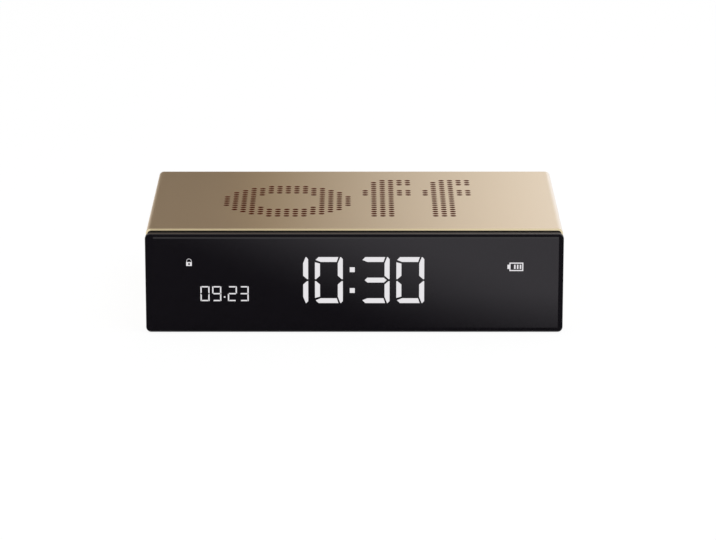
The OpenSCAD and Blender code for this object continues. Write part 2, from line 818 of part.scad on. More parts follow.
// A point on a cubic curve with four control points
function curve(p, u) =
    pow(1 - u, 3) * p[0] + 3 * u * pow(1 - u, 2) * p[1] + 3 * u * u * (1 - u) * p[2] + pow(u, 3) * p[3];

// A round lead along a cubic curve that lies in the plane square to side
module lead(p, side) {
    pts = [for (n = [0:lead_rings]) curve(p, n / lead_rings)];
    dirs = [
        for (n = [0:lead_rings])
            n == 0 ? p[1] - p[0] : n == lead_rings ? p[3] - p[2] : pts[n + 1] - pts[n - 1]
    ];
    rings = [
        for (n = [0:lead_rings], k = [0:lead_sides - 1])
            let (across = cross(dirs[n], side) / norm(dirs[n]), a = 360 * k / lead_sides)
                pts[n] + lead_d / 2 * (cos(a) * side + sin(a) * across)
    ];
    skin = [
        for (n = [0:lead_rings - 1], k = [0:lead_sides - 1])
            let (a = n * lead_sides + k, b = n * lead_sides + (k + 1) % lead_sides)
                each [[a, b, b + lead_sides], [a, b + lead_sides, a + lead_sides]]
    ];
    first = [for (k = [1:lead_sides - 2]) [0, k + 1, k]];
    last_ring = lead_rings * lead_sides;
    last = [for (k = [1:lead_sides - 2]) [last_ring, last_ring + k, last_ring + k + 1]];
    polyhedron(points = rings, faces = concat(skin, first, last));
}

module battery_leads() {
    start_y = board_mid_y - battery_l / 2;
    loop_y = (display_back + board_front) / 2;
    pull_y = (8 * loop_y - start_y - plug_front) / 6;
    start_z = battery_z + battery_t / 2;
    color("#b3262a")
        for (s = [-1, 1]) {
            x = plug_x + s * lead_step / 2;
            lead([
                [x, start_y, start_z], [x, pull_y, start_z], [x, pull_y, lead_z], [x, plug_front, lead_z]
            ], [1, 0, 0]);
        }
}

module battery_plug() {
    color("#efece3") translate([plug_x - plug_w / 2, plug_front, board_top + socket_t])
        cube([plug_w, plug_l, plug_h]);
}

module battery_socket() {
    color("#d9d5c8") translate([plug_x - plug_w / 2 - socket_t, plug_front, board_top]) {
        cube([plug_w + 2 * socket_t, plug_l + socket_t, socket_t]);
        translate([0, plug_l, 0]) cube([plug_w + 2 * socket_t, socket_t, plug_h]);
    }
}

module main_board() {
    color("#1d5a3a") difference() {
        translate([board_left, board_front, board_z]) cube([main_board_w, main_board_l, main_board_t]);
        at_board_holes() translate([0, 0, board_z - past])
            cylinder(d = screw_bore, h = main_board_t + 2 * past);
    }
}

module main_board_screws() {
    color("#8b8d91") at_board_holes() translate([0, 0, board_top]) screw_down(screw_l);
}

// Controller, charger, amplifier and memory: place from the board's middle, side, height
module controller_chips() {
    chips = [[-4, 2, 7, 1], [12, 12, 4, 0.9], [-14, 14, 5, 0.9], [10, -6, 4, 0.8]];
    color("#1b1b1d")
        for (c = chips)
            translate([board_mid_x + c[0], board_mid_y + c[1], board_top + c[3] / 2])
                cube([c[2], c[2], c[3]], center = true);
}

// Clock crystal, coil and rows of capacitors
module board_passives() {
    crystal = [8, 3.8, 2.5];
    coil = [5, 5, 2.6];
    chip = [1.6, 0.8, 0.8];
    color("#b9a47a") translate([board_mid_x, board_mid_y, board_top]) {
        translate([-8, -8, 0]) cube(crystal);
        translate([14, 2, 0]) cube(coil);
        for (n = [0:5]) {
            translate([-10 + 3 * n, 9, 0]) cube(chip);
            translate([2 + 3 * n, -12, 0]) cube(chip);
        }
    }
}

ribbon_start = [display_back + ribbon_socket_l, board_top + 3 * ribbon_socket_h];
ribbon_end = [board_front + ribbon_socket_l, board_top + ribbon_socket_h / 2];

module display_ribbon() {
    pull = [(ribbon_end.x - ribbon_start.x) * 0.6, 0];
    line = [ribbon_start, ribbon_start + pull, ribbon_end - pull, ribbon_end];
    steps = 12;
    upper = [for (n = [0:steps]) curve(line, n / steps) + [0, ribbon_t / 2]];
    lower = [for (n = [steps:-1:0]) curve(line, n / steps) - [0, ribbon_t / 2]];
    color("#e9e6da") translate([ribbon_x - ribbon_w / 2, 0, 0])
        rotate([90, 0, 90]) linear_extrude(ribbon_w) polygon(concat(upper, lower));
}

module ribbon_sockets() {
    long = ribbon_w + ribbon_socket_l;
    color("#2a2622") {
        translate([ribbon_x - long / 2, display_back, ribbon_start.y - ribbon_socket_h / 2])
            cube([long, ribbon_socket_l, ribbon_socket_h]);
        translate([ribbon_x - long / 2, ribbon_end.x, board_top])
            cube([long, ribbon_socket_l, ribbon_socket_h]);
    }
}

module tilt_can() {
    color("#b8bcc2") translate([tilt_x, tilt_y, board_top]) difference() {
        cylinder(d = tilt_can_d, h = tilt_can_h);
        translate([0, 0, tilt_can_wall])
            cylinder(d = tilt_can_d - 2 * tilt_can_wall, h = tilt_can_h - 2 * tilt_can_wall);
    }
}

module tilt_ball() {
    color("#d6d8db") translate([tilt_x, tilt_y, board_top + tilt_can_wall + tilt_gap + tilt_ball_d / 2])
        sphere(d = tilt_ball_d);
}

module speaker_basket() {
    top = speaker_top;
    bore_r = cone_neck_r + coil_room;
    color("#6c6e72") translate([speaker_x, speaker_y, 0]) rotate_extrude() polygon([
        [speaker_d / 2, top], [speaker_d / 2, speaker_seat], [basket_r, speaker_seat],
        [basket_foot_r, basket_z], [bore_r, basket_z], [bore_r, basket_z + basket_wall],
        [basket_foot_r - basket_wall, basket_z + basket_wall],
        [basket_r - basket_wall, speaker_seat], [basket_r - basket_wall, top]
    ]);
}

module speaker_magnet() {
    color("#3f4145") translate([speaker_x, speaker_y, basket_z - magnet_t])
        cylinder(d = magnet_d, h = magnet_t);
}

module speaker_cone() {
    color("#2a2a2c") translate([speaker_x, speaker_y, 0]) rotate_extrude() polygon([
        [cone_rim_r, speaker_top], [cone_rim_r, speaker_top + cone_t], [cone_r, speaker_top + cone_t],
        [cone_neck_r, cone_neck_z + cone_t], [0, cone_neck_z + 2 * cone_t], [0, cone_neck_z],
        [cone_neck_r - coil_t, cone_neck_z], [cone_neck_r - coil_t, basket_z], [cone_neck_r, basket_z],
        [cone_neck_r, cone_neck_z], [cone_r, speaker_top]
    ]);
}

module speaker_gasket() {
    color("#404043") translate([speaker_x, speaker_y, speaker_top]) difference() {
        cylinder(r = gasket_r, h = gasket_t);
        translate([0, 0, -past]) cylinder(r = cone_rim_r + slide_clear, h = gasket_t + 2 * past);
    }
}

module speaker_leads() {
    start = [speaker_x + magnet_d / 2 + slide_clear + lead_d / 2 + board_clear, basket_z];
    finish = [plug_left, lead_z];
    color("#2b2b2e")
        for (s = [-1, 1]) {
            y = speaker_y + s * lead_step / 2;
            lead([
                [start.x, y, start.y], [start.x, y, finish.y],
                [(start.x + finish.x) / 2, y, finish.y], [finish.x, y, finish.y]
            ], [0, 1, 0]);
        }
}

module speaker_plug() {
    color("#efece3") translate([plug_left, speaker_y - plug_w / 2, board_top])
        cube([plug_l, plug_w, socket_t + plug_h]);
}

module speaker_screws() {
    color("#8b8d91") at_speaker_posts() translate([0, 0, speaker_top]) screw_down(screw_l + speaker_flange_t);
}

// The rounded mouth of the charging socket, grown by some distance
module usb_mouth_shape(grow) {
    w = usb_w + 2 * grow;
    h = usb_h + 2 * grow;
    translate([board_mid_x, usb_z]) round_rect(w, h, h / 2 - 0.1);
}

module usb_shell() {
    color("#c4c6ca") difference() {
        plate(usb_mouth - usb_l, usb_l) usb_mouth_shape(0);
        plate(usb_mouth - usb_l + usb_wall, usb_l) usb_mouth_shape(-usb_wall);
    }
}

module usb_tongue() {
    side_room = 1.15;
    mouth_room = 1;
    tongue_w = usb_w - 2 * side_room;
    tongue_h = 0.7;
    color("#1c1c1e") plate(usb_mouth - usb_l + usb_wall, usb_l - usb_wall - mouth_room)
        translate([board_mid_x, usb_z]) square([tongue_w, tongue_h], center = true);
}

// A pill shape of a button cap, grown by some distance
module cap_shape(n, grow) {
    h = cap_h + 2 * grow;
    translate([first_button_x + n * button_step, mid_z]) {
        square([cap_w - cap_h, h], center = true);
        for (s = [-1, 1]) translate([s * (cap_w - cap_h) / 2, 0]) circle(d = h);
    }
}

// The button board's two bosses on the rear cover
module at_button_bosses() {
    for (n = [0, 2], s = [1, -1])
        translate([first_button_x + (n + 0.5) * button_step, mid_z + s * button_boss_z]) children();
}

module rear_cover() {
    color("#1a1a1c") difference() {
        union() {
            plate(cover_front, cover_t) cavity(slide_clear);
            plate(switch_front, cover_front - switch_front) at_button_bosses() circle(d = boss_d);
        }
        plate(cover_front - past, cover_t + 2 * past) {
            for (n = [0:3]) cap_shape(n, button_clear);
            usb_mouth_shape(button_clear);
            at_ports() circle(d = screw_bore);
        }
        plate(cover_back - screw_head_h, screw_head_h + past) at_ports() circle(d = head_bore);
        plate(switch_front - past, cover_front - switch_front + past) at_button_bosses() circle(d = screw_bore);
    }
}

module rear_cover_screws() {
    color("#3a3b3e")
        for (x = [-1, 1], z = [-1, 1])
            translate([x * port_x, cover_back - screw_head_h, mid_z + z * port_z])
                rotate([0, 0, 180]) screw_y(screw_head_h, screw_l);
}

module button_board() {
    color("#1d5a3a") plate(button_board_front, button_board_t) difference() {
        translate([button_mid_x, mid_z]) square([button_board_w, button_board_h], center = true);
        at_button_bosses() circle(d = screw_bore);
    }
}

module button_board_screws() {
    color("#8b8d91")
        for (n = [0, 2], s = [1, -1])
            translate([first_button_x + (n + 0.5) * button_step, button_board_front, mid_z + s * button_boss_z])
                screw_y(screw_head_h, screw_l);
}

module button_plugs() {
    x = button_mid_x + button_board_w / 2 - plug_w;
    color("#efece3") {
        translate([x, button_board_front - plug_l, lead_z - plug_h / 2]) cube([plug_w, plug_l, plug_h]);
        translate([plug_left, button_plug_y - plug_w / 2, board_top])
            cube([plug_l, plug_w, socket_t + plug_h]);
    }
}

module button_leads() {
    start_x = button_mid_x + button_board_w / 2 - plug_w / 2;
    start_y = button_board_front - plug_l;
    color("#77797e")
        for (s = [-1, 1]) {
            x = start_x + s * lead_step / 2;
            y = button_plug_y + s * lead_step / 2;
            lead([
                [x, start_y, lead_z], [x, y, lead_z], [x + plug_w, y, lead_z], [plug_left, y, lead_z]
            ], [0, 0, 1]);
        }
}

module tact_switches() {
    color("#3c3d40") plate(switch_front, switch_t)
        for (n = [0:3])
            translate([first_button_x + n * button_step, mid_z]) difference() {
                square(switch_w, center = true);
                circle(d = plunger_d + 2 * button_clear);
            }
}

module button_cap(n) {
    plate(lip_back, cover_back + cap_proud - lip_back) cap_shape(n, 0);
    plate(lip_front, cap_lip_t) cap_shape(n, cap_lip);
}

module switch_plunger(n) {
    length = plunger_depth + plunger_rise;
    bar(first_button_x + n * button_step, mid_z, lip_front - length, length, plunger_d);
}

module alarm_button() {
    color("#29292c") button_cap(0);
}

module clock_button() {
    color("#29292c") button_cap(1);
}

module plus_button() {
    color("#29292c") button_cap(2);
}

module minus_button() {
    color("#29292c") button_cap(3);
}

module alarm_plunger() {
    color("#d7d3c6") switch_plunger(0);
}

module clock_plunger() {
    color("#d7d3c6") switch_plunger(1);
}

module plus_plunger() {
    color("#d7d3c6") switch_plunger(2);
}

module minus_plunger() {
    color("#d7d3c6") switch_plunger(3);
}

aluminium_sleeve();
front_bezel();
front_lens();
lens_tape();
touch_film();
bezel_screws();
light_guide_housing();
time_segments_lit();
time_segments_dark();
date_segments_lit();
date_segments_dark();
status_signs();
display_board();
display_leds();
display_board_screws();
upper_mesh();
lower_mesh();
inner_tray();
battery_pad();
battery_cell();
battery_leads();
battery_plug();
battery_socket();
main_board();
main_board_screws();
controller_chips();
board_passives();
display_ribbon();
ribbon_sockets();
tilt_can();
tilt_ball();
speaker_basket();
speaker_magnet();
speaker_cone();
speaker_gasket();
speaker_leads();
speaker_plug();
speaker_screws();
usb_shell();
usb_tongue();
rear_cover();
rear_cover_screws();
button_board();
button_board_screws();
button_leads();
button_plugs();
tact_switches();
alarm_button();
clock_button();
plus_button();
minus_button();
alarm_plunger();
clock_plunger();
plus_plunger();
minus_plunger();
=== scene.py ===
import math

import bmesh
import bpy
import numpy as np
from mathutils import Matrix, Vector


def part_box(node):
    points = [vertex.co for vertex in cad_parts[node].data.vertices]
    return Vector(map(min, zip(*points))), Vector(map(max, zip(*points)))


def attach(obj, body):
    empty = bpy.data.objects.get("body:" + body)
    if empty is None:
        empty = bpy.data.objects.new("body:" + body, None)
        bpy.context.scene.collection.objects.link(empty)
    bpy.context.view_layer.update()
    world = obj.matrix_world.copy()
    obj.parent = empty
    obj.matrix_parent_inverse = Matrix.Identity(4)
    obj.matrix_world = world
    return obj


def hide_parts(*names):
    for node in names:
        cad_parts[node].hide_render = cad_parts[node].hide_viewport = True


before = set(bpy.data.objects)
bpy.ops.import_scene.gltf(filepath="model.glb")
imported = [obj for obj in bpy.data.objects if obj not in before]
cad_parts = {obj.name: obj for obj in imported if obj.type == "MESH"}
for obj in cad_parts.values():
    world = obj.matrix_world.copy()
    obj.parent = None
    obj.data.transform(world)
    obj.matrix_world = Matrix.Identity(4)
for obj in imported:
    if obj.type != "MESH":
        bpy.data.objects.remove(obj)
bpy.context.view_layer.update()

# Camera: the photograph is taken with a long lens from about a metre away, square to the front and
# 15 degrees above it. Place, tilt and focal length are fitted to the photographed outline.
CAMERA_PLACE = (0.00114, -1.0802, 0.29985)
CAMERA_TILT = 74.95
CAMERA_LENS = 172.68
CAMERA_SENSOR = 36
camera = bpy.data.objects.new("camera", bpy.data.cameras.new("camera"))
camera.location = CAMERA_PLACE
camera.rotation_euler = (math.radians(CAMERA_TILT), 0, 0)
camera.data.lens = CAMERA_LENS
camera.data.sensor_width = CAMERA_SENSOR
bpy.context.collection.objects.link(camera)
bpy.context.scene.camera = camera
bpy.context.scene.view_settings.view_transform = "Standard"

# Sleeve: one extruded aluminium tube with rounded long edges, bead blasted and anodised champagne.
# A polishing cutter chamfers both ends, and each broad face is drilled with the word of the state
# that it shows. Four screw ports run along the inner corners.
MM = 0.001
SLEEVE_WALL = 1.8 * MM
EDGE_R = 1.6 * MM
INNER_R = 0.8 * MM
END_CHAMFER = 0.5 * MM
PORT_D = 5.2 * MM
PORT_BORE = 1.86 * MM
PORT_INSET = 2.2 * MM
PORT_SIDES = 32
COVER_ROOM = 2.4 * MM
HOLE_D = 1.7 * MM
HOLE_RIM = 0.1 * MM
HOLE_PITCH = 2.8 * MM
HOLE_SIDES = 16
WORD_ROWS = 18
MESH_MARGIN = 3 * MM
ARC_STEPS = 8
SUPPORT = 0.04 * MM
RUN_ENDS = 4
SMOOTH_ANGLE = math.radians(30)
SKIN, CUT, BORE = range(3)


def linear(colour):
    """An sRGB hex colour as linear red, green, blue and alpha, by the standard two-part curve."""
    srgb = np.array([int(colour[i:i + 2], 16) for i in (1, 3, 5)]) / 255
    even = np.where(srgb <= 0.04045, srgb / 12.92, ((srgb + 0.055) / 1.055) ** 2.4)
    return (*even.tolist(), 1.0)


def feed(node, inputs):
    """Sets a node's sockets, each to a value or to a link from another node's output."""
    for name, value in inputs.items():
        if isinstance(value, bpy.types.NodeSocket):
            node.id_data.links.new(value, node.inputs[name])
        else:
            node.inputs[name].default_value = value


def add_node(tree, kind, inputs, **settings):
    """Adds one node with its properties and fed sockets, and gives its outputs."""
    made = tree.nodes.new(kind)
    for name, value in settings.items():
        setattr(made, name, value)
    feed(made, inputs)
    return made.outputs


def new_material(name, colour, roughness, sockets={}):
    """A material of one Principled shader with its even values on the shader's own sockets.
    Gives the material, its tree, the shader and the Object coordinates that patterns read."""
    made = bpy.data.materials.new(name)
    made.use_nodes = True
    tree = made.node_tree
    shader = tree.nodes["Principled BSDF"]
    feed(shader, {"Base Color": linear(colour), "Roughness": roughness, **sockets})
    place = add_node(tree, "ShaderNodeTexCoord", {})["Object"]
    return made, tree, shader, place


def tube_profile(half_w, half_h, r, top_x=(), bottom_x=()):
    """Points round a rounded rectangle, clockwise from the front: straight runs with the given columns,
    corners as arcs, and a close pair of points where a run meets an arc, so that flats shade flat."""
    flat_x, flat_z = half_w - r, half_h - r
    turn = np.radians(np.linspace(90, 0, ARC_STEPS + 1))[1:-1]
    arc = r * np.column_stack([np.cos(turn), np.sin(turn)])
    top = np.concatenate([[-flat_x, SUPPORT - flat_x], top_x, [flat_x - SUPPORT, flat_x]])
    foot = np.concatenate([[flat_x, flat_x - SUPPORT], bottom_x, [SUPPORT - flat_x, -flat_x]])
    side = np.array([flat_z, flat_z - SUPPORT, SUPPORT - flat_z, -flat_z])
    return np.vstack([
        np.column_stack([top, np.full(len(top), half_h)]),
        arc + [flat_x, flat_z],
        np.column_stack([np.full(len(side), half_w), side]),
        arc[::-1] * [1, -1] + [flat_x, -flat_z],
        np.column_stack([foot, np.full(len(foot), -half_h)]),
        -arc - [flat_x, flat_z],
        np.column_stack([np.full(len(side), -half_w), -side]),
        arc[::-1] * [-1, 1] + [-flat_x, flat_z],
    ])


def circle_profile(r, sides):
    """Points round a circle, clockwise seen from the front."""
    turn = np.radians(90 - 360 * np.arange(sides) / sides)
    return r * np.column_stack([np.cos(turn), np.sin(turn)])


def at_depth(profile, y, x=0.0, z=0.0):
    """A profile as a ring of points in space: its width along X, its height along Z, at one depth."""
    return np.column_stack([profile[:, 0] + x, np.full(len(profile), y), profile[:, 1] + z])


def chain(rings):
    """Quads from each ring of points to the next, and from the last back to the first."""
    here = np.arange(rings.shape[0] * rings.shape[1]).reshape(rings.shape[:2])
    beside = np.roll(here, -1, axis=1)
    return np.stack([here, beside, np.roll(beside, -1, axis=0), np.roll(here, -1, axis=0)], axis=-1)


def band(outer, inner, front, back, x=0.0, z=0.0):
    """A closed band between two profiles of as many points, as a chain of four rings: the outer
    profile at the front and back, then the inner one at the back and front."""
    ends = [(outer, front), (outer, back), (inner, back), (inner, front)]
    rings = np.array([at_depth(profile, y, x, z) for profile, y in ends])
    return rings.reshape(-1, 3), chain(rings).reshape(-1, 4).tolist()


def joined(solids):
    """Several (points, faces) solids as one, with each solid's corner numbers moved past the last."""
    points, faces, first = [], [], 0
    for solid_points, solid_faces in solids:
        points.append(solid_points)
        faces += [[first + corner for corner in face] for face in solid_faces]
        first += len(solid_points)
    return np.vstack(points), faces


def add_piece(name, body, solid, materials, picks=None):
    """Puts a (points, faces) solid into a mesh that rides on a body. Picks choose each face's material."""
    points, faces = solid
    mesh = bpy.data.meshes.new(name)
    mesh.from_pydata(points.tolist(), [], faces)
    for material in materials:
        mesh.materials.append(material)
    if picks is not None:
        mesh.polygons.foreach_set("material_index", np.asarray(picks, np.int32))
    mesh.polygons.foreach_set("use_smooth", np.ones(len(faces), bool))
    mesh.set_sharp_from_angle(angle=SMOOTH_ANGLE)
    piece = bpy.data.objects.new(name, mesh)
    bpy.context.collection.objects.link(piece)
    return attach(piece, body)


def word_grid(columns, *letters):
    """Drilled cells of one word: each letter's cells laid on an empty grid from its first column."""
    grid = np.zeros((columns, WORD_ROWS), bool)
    for first, cells in letters:
        grid[first:first + cells.shape[0], :cells.shape[1]] |= cells
    return grid


# Letters on the drilling grid, columns by rows from the foot: a ring between two radii, a stem with
# a crossbar and a hook whose corner is left out, and two stems under a half-ring.
col, row = np.mgrid[0:15, 0:15]
reach = np.hypot(col - 7, row - 7)
ring_letter = (reach > 3.9) & (reach < 7.45)

col, row = np.mgrid[0:6, 0:WORD_ROWS]
stem = (col >= 1) & (col <= 3)
stem_corner = (col == 1) & (row == WORD_ROWS - 1)
crossbar = (row >= 10) & (row <= 12)
hook = (col >= 4) & (row >= 15)
hook_letter = (stem & ~stem_corner) | crossbar | hook

col, row = np.mgrid[0:11, 0:15]
reach = np.hypot(col - 5, row - 8.5)
left_stem = col <= 2
right_stem = (col >= 8) & (row <= 8)
half_ring = (row > 8) & (reach > 2.4) & (reach < 6.2)
arch_letter = left_stem | right_stem | half_ring

upper_word = word_grid(29, (0, ring_letter), (16, hook_letter), (23, hook_letter))
lower_word = word_grid(27, (0, ring_letter), (16, arch_letter))


def sleeve_solid():
    """The tube as a closed chain of rings: out along the skin, in over the rear end, back along the
    cavity and out over the front end. A drilled cell's quad gives way to four faces round a circle
    in each skin, joined by a broken rim and a straight bore."""
    low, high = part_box("aluminium_sleeve")
    mid_z, half_w, half_h = (low.z + high.z) / 2, high.x, (high.z - low.z) / 2
    mesh_low, mesh_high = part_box("upper_mesh")
    upper_x = (mesh_low.x + mesh_high.x) / 2
    rows = mesh_low.y + MESH_MARGIN + HOLE_PITCH * np.arange(WORD_ROWS + 1)
    upper_cells, lower_cells = upper_word.shape[0], lower_word.shape[0]
    top_x = upper_x + HOLE_PITCH * (np.arange(upper_cells + 1) - upper_cells / 2)
    bottom_x = HOLE_PITCH * (lower_cells / 2 - np.arange(lower_cells + 1))
    outer = tube_profile(half_w, half_h, EDGE_R, top_x, bottom_x)
    cut_w, cut_h = half_w - END_CHAMFER, half_h - END_CHAMFER
    chamfered = tube_profile(cut_w, cut_h, EDGE_R - END_CHAMFER, top_x, bottom_x)
    inner = tube_profile(half_w - SLEEVE_WALL, half_h - SLEEVE_WALL, INNER_R, top_x, bottom_x)
    skin_y = [low.y + END_CHAMFER, low.y + END_CHAMFER + SUPPORT, *rows]
    skin_y += [high.y - END_CHAMFER - SUPPORT, high.y - END_CHAMFER]
    cavity_y = [high.y, *rows[::-1], low.y]
    rings = [at_depth(chamfered, low.y, z=mid_z)]
    rings += [at_depth(outer, y, z=mid_z) for y in skin_y]
    rings += [at_depth(chamfered, high.y, z=mid_z)]
    rings += [at_depth(inner, y, z=mid_z) for y in cavity_y]
    rings = np.array(rings)
    quads = chain(rings)
    picks = np.full(quads.shape[:2], SKIN)
    picks[[0, len(skin_y)]] = CUT

    # A cell's place in the chain: its column along the top or foot run, which has two close pairs of
    # points besides, and its row along skin and cavity, after the chamfer's ring and the skin's pair.
    foot_start = len(top_x) + 2 * RUN_ENDS + 2 * (ARC_STEPS - 1)
    first_ring = 3
    cell_col, cell_row = np.vstack([np.argwhere(upper_word), np.argwhere(lower_word)]).T
    on_top = np.arange(len(cell_col)) < upper_word.sum()
    cell_k = np.where(on_top, 0, foot_start) + RUN_ENDS // 2 + cell_col
    skin_j = first_ring + cell_row
    cavity_j = len(rings) - first_ring - cell_row
    skin_corners, cavity_corners = quads[skin_j, cell_k], quads[cavity_j, cell_k]
    plain = np.ones(quads.shape[:2], bool)
    plain[skin_j, cell_k] = False
    plain[cavity_j, cell_k] = False

    # Circles of every hole, each begun towards its cell's first corner.
    flat = rings.reshape(-1, 3)
    skin_mid, cavity_mid = flat[skin_corners].mean(axis=1), flat[cavity_corners].mean(axis=1)
    turn = np.radians(225 + 360 * np.arange(HOLE_SIDES) / HOLE_SIDES)
    across = np.where(on_top, 1, -1)[:, None] * np.cos(turn)
    round_hole = np.stack([across, np.broadcast_to(np.sin(turn), across.shape), 0 * across], axis=-1)
    inward = (cavity_mid - skin_mid) / SLEEVE_WALL
    rim = skin_mid[:, None] + (HOLE_D / 2 + HOLE_RIM) * round_hole
    bore = skin_mid[:, None] + HOLE_D / 2 * round_hole + HOLE_RIM * inward[:, None]
    bore_end = cavity_mid[:, None] + HOLE_D / 2 * round_hole
    circles = np.stack([rim, bore, bore_end], axis=1)
    number = len(flat) + np.arange(circles[..., 0].size).reshape(circles.shape[:3])
    beside = np.roll(number, -1, axis=2)
    walls = np.stack([number[:, :-1], beside[:, :-1], beside[:, 1:], number[:, 1:]], axis=-1)
    quarter = HOLE_SIDES // 4
    collars = []
    for side in range(4):
        pair = [side, (side + 1) % 4]
        skin_arc = np.arange(quarter * (side + 1), quarter * side - 1, -1) % HOLE_SIDES
        cavity_arc = np.arange(quarter * (2 - side), quarter * (3 - side) + 1) % HOLE_SIDES
        collars.append(np.hstack([skin_corners[:, pair], number[:, 0][:, skin_arc]]))
        collars.append(np.hstack([cavity_corners[:, pair], number[:, 2][:, cavity_arc]]))
    collars, walls = np.vstack(collars), walls.reshape(-1, 4)
    faces = quads[plain].tolist() + collars.tolist() + walls.tolist()
    picks = np.concatenate([picks[plain], np.full(len(collars), SKIN), np.full(len(walls), BORE)])
    return (np.vstack([flat, circles.reshape(-1, 3)]), faces), picks


def port_solids():
    """Screw ports: a band from wide to bore round each corner screw, up to the cover's place."""
    low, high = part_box("aluminium_sleeve")
    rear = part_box("rear_cover")[1].y - COVER_ROOM
    wide, bore = circle_profile(PORT_D / 2, PORT_SIDES), circle_profile(PORT_BORE / 2, PORT_SIDES)
    mid_z = (low.z + high.z) / 2
    port_x = high.x - SLEEVE_WALL - PORT_INSET
    port_z = high.z - mid_z - SLEEVE_WALL - PORT_INSET
    return [
        band(wide, bore, low.y + SUPPORT, rear, x * port_x, mid_z + z * port_z)
        for x, z in [(-1, -1), (-1, 1), (1, -1), (1, 1)]
    ]


# Anodised aluminium, bead blasted: a soft satin glow with a very fine even grain, under a clear oxide
# skin that turns pale along the round edges. The grain is about 0.1 mm and is drawn at 0.3 mm so that
# it shows.
GRAIN = 0.3 * MM
OXIDE = {"Metallic": 1.0, "Coat Weight": 0.5, "Coat Roughness": 0.3, "Coat IOR": 1.6}
anodised, tree, shader, place = new_material("bead_blasted_anodised_aluminium", "#DDC4A0", 0.33, OXIDE)
grain = add_node(tree, "ShaderNodeTexNoise", {"Vector": place, "Scale": 1 / GRAIN, "Detail": 3.0})["Fac"]
dull = add_node(tree, "ShaderNodeMapRange", {"Value": grain, "To Min": 0.29, "To Max": 0.37})
bump = add_node(tree, "ShaderNodeBump", {"Height": grain, "Strength": 0.12, "Distance": 0.01 * MM})
feed(shader, {"Roughness": dull["Result"], "Normal": bump["Normal"]})

# Diamond-cut chamfer: the same metal cut bright, with faint cutter lines along the edge.
CUTTER_LINE = 0.08 * MM
cut_bright, tree, shader, place = new_material("diamond_cut_aluminium", "#E2D3B0", 0.2, {"Metallic": 1.0})
stretch = add_node(tree, "ShaderNodeMapping", {"Vector": place, "Scale": (0.02, 1.0, 1.0)})["Vector"]
lines = add_node(tree, "ShaderNodeTexNoise", {"Vector": stretch, "Scale": 1 / CUTTER_LINE})["Fac"]
dull = add_node(tree, "ShaderNodeMapRange", {"Value": lines, "To Min": 0.14, "To Max": 0.28})
feed(shader, {"Roughness": dull["Result"]})

# Drilled bores: each hole's walls lie in shade, so they are painted a dark reddish brown, a painted
# shade with a painted reflection of the gold metal round them. The drill's rings show as a fine bump.
DRILL_RING = 0.12 * MM
DULL_SHADED_BORE = {"Specular IOR Level": 0.1}
bore_shade, tree, shader, place = new_material("drilled_bore_painted_shade", "#62220D", 0.7, DULL_SHADED_BORE)
stretch = add_node(tree, "ShaderNodeMapping", {"Vector": place, "Scale": (0.1, 0.1, 1.0)})["Vector"]
rings = add_node(tree, "ShaderNodeTexNoise", {"Vector": stretch, "Scale": 1 / DRILL_RING})["Fac"]
bump = add_node(tree, "ShaderNodeBump", {"Height": rings, "Strength": 0.3, "Distance": 0.02 * MM})
feed(shader, {"Normal": bump["Normal"]})

sleeve, sleeve_picks = sleeve_solid()
ports = port_solids()
port_picks = np.full(sum(len(port[1]) for port in ports), SKIN)
sleeve_picks = np.concatenate([sleeve_picks, port_picks])
finishes = [anodised, cut_bright, bore_shade]
piece = add_piece("sleeve", "casing", joined([sleeve, *ports]), finishes, sleeve_picks)
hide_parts("aluminium_sleeve")

# Dust meshes: woven polyester glued under both words, which keeps dust and fingers out of the holes
# and lets the sound through. It is a dull brown check, whose 0.1 mm weave is drawn at 0.35 mm so that
# it shows. A wave texture's bands lie 0.314 of a unit apart at scale one.
THREAD = 0.35 * MM
WAVE_BAND = 0.314


def dress(material, *nodes):
    """Gives CAD nodes their finish."""
    for name in nodes:
        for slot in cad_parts[name].material_slots:
            slot.material = material


woven, tree, shader, place = new_material("woven_polyester_mesh", "#3A2419", 0.8)
thread_wave = {"Vector": place, "Scale": WAVE_BAND / THREAD}
warp = add_node(tree, "ShaderNodeTexWave", thread_wave, bands_direction="X")["Fac"]
weft = add_node(tree, "ShaderNodeTexWave", thread_wave, bands_direction="Y")["Fac"]
weave = add_node(tree, "ShaderNodeMath", {0: warp, 1: weft}, operation="MAXIMUM")["Value"]
thread_tones = {0: weave, 6: linear("#1C110C"), 7: linear("#4A2E20")}
tone = add_node(tree, "ShaderNodeMix", thread_tones, data_type="RGBA")
bump = add_node(tree, "ShaderNodeBump", {"Height": weave, "Strength": 0.6, "Distance": 0.05 * MM})
feed(shader, {"Base Color": tone[2], "Normal": bump["Normal"]})
dress(woven, "upper_mesh", "lower_mesh")

# Tray: one injection moulded ABS carrier that slides into the sleeve and holds battery, board and
# speaker on its posts, ribs and rails. It is a matt dark grey with the mould's fine grain.
# Shares of the colour on the grain: in its pits a painted shade, on its tops a painted highlight.
PIT_SHADE_SHARE = 0.7
TOP_HIGHLIGHT_SHARE = 1.16


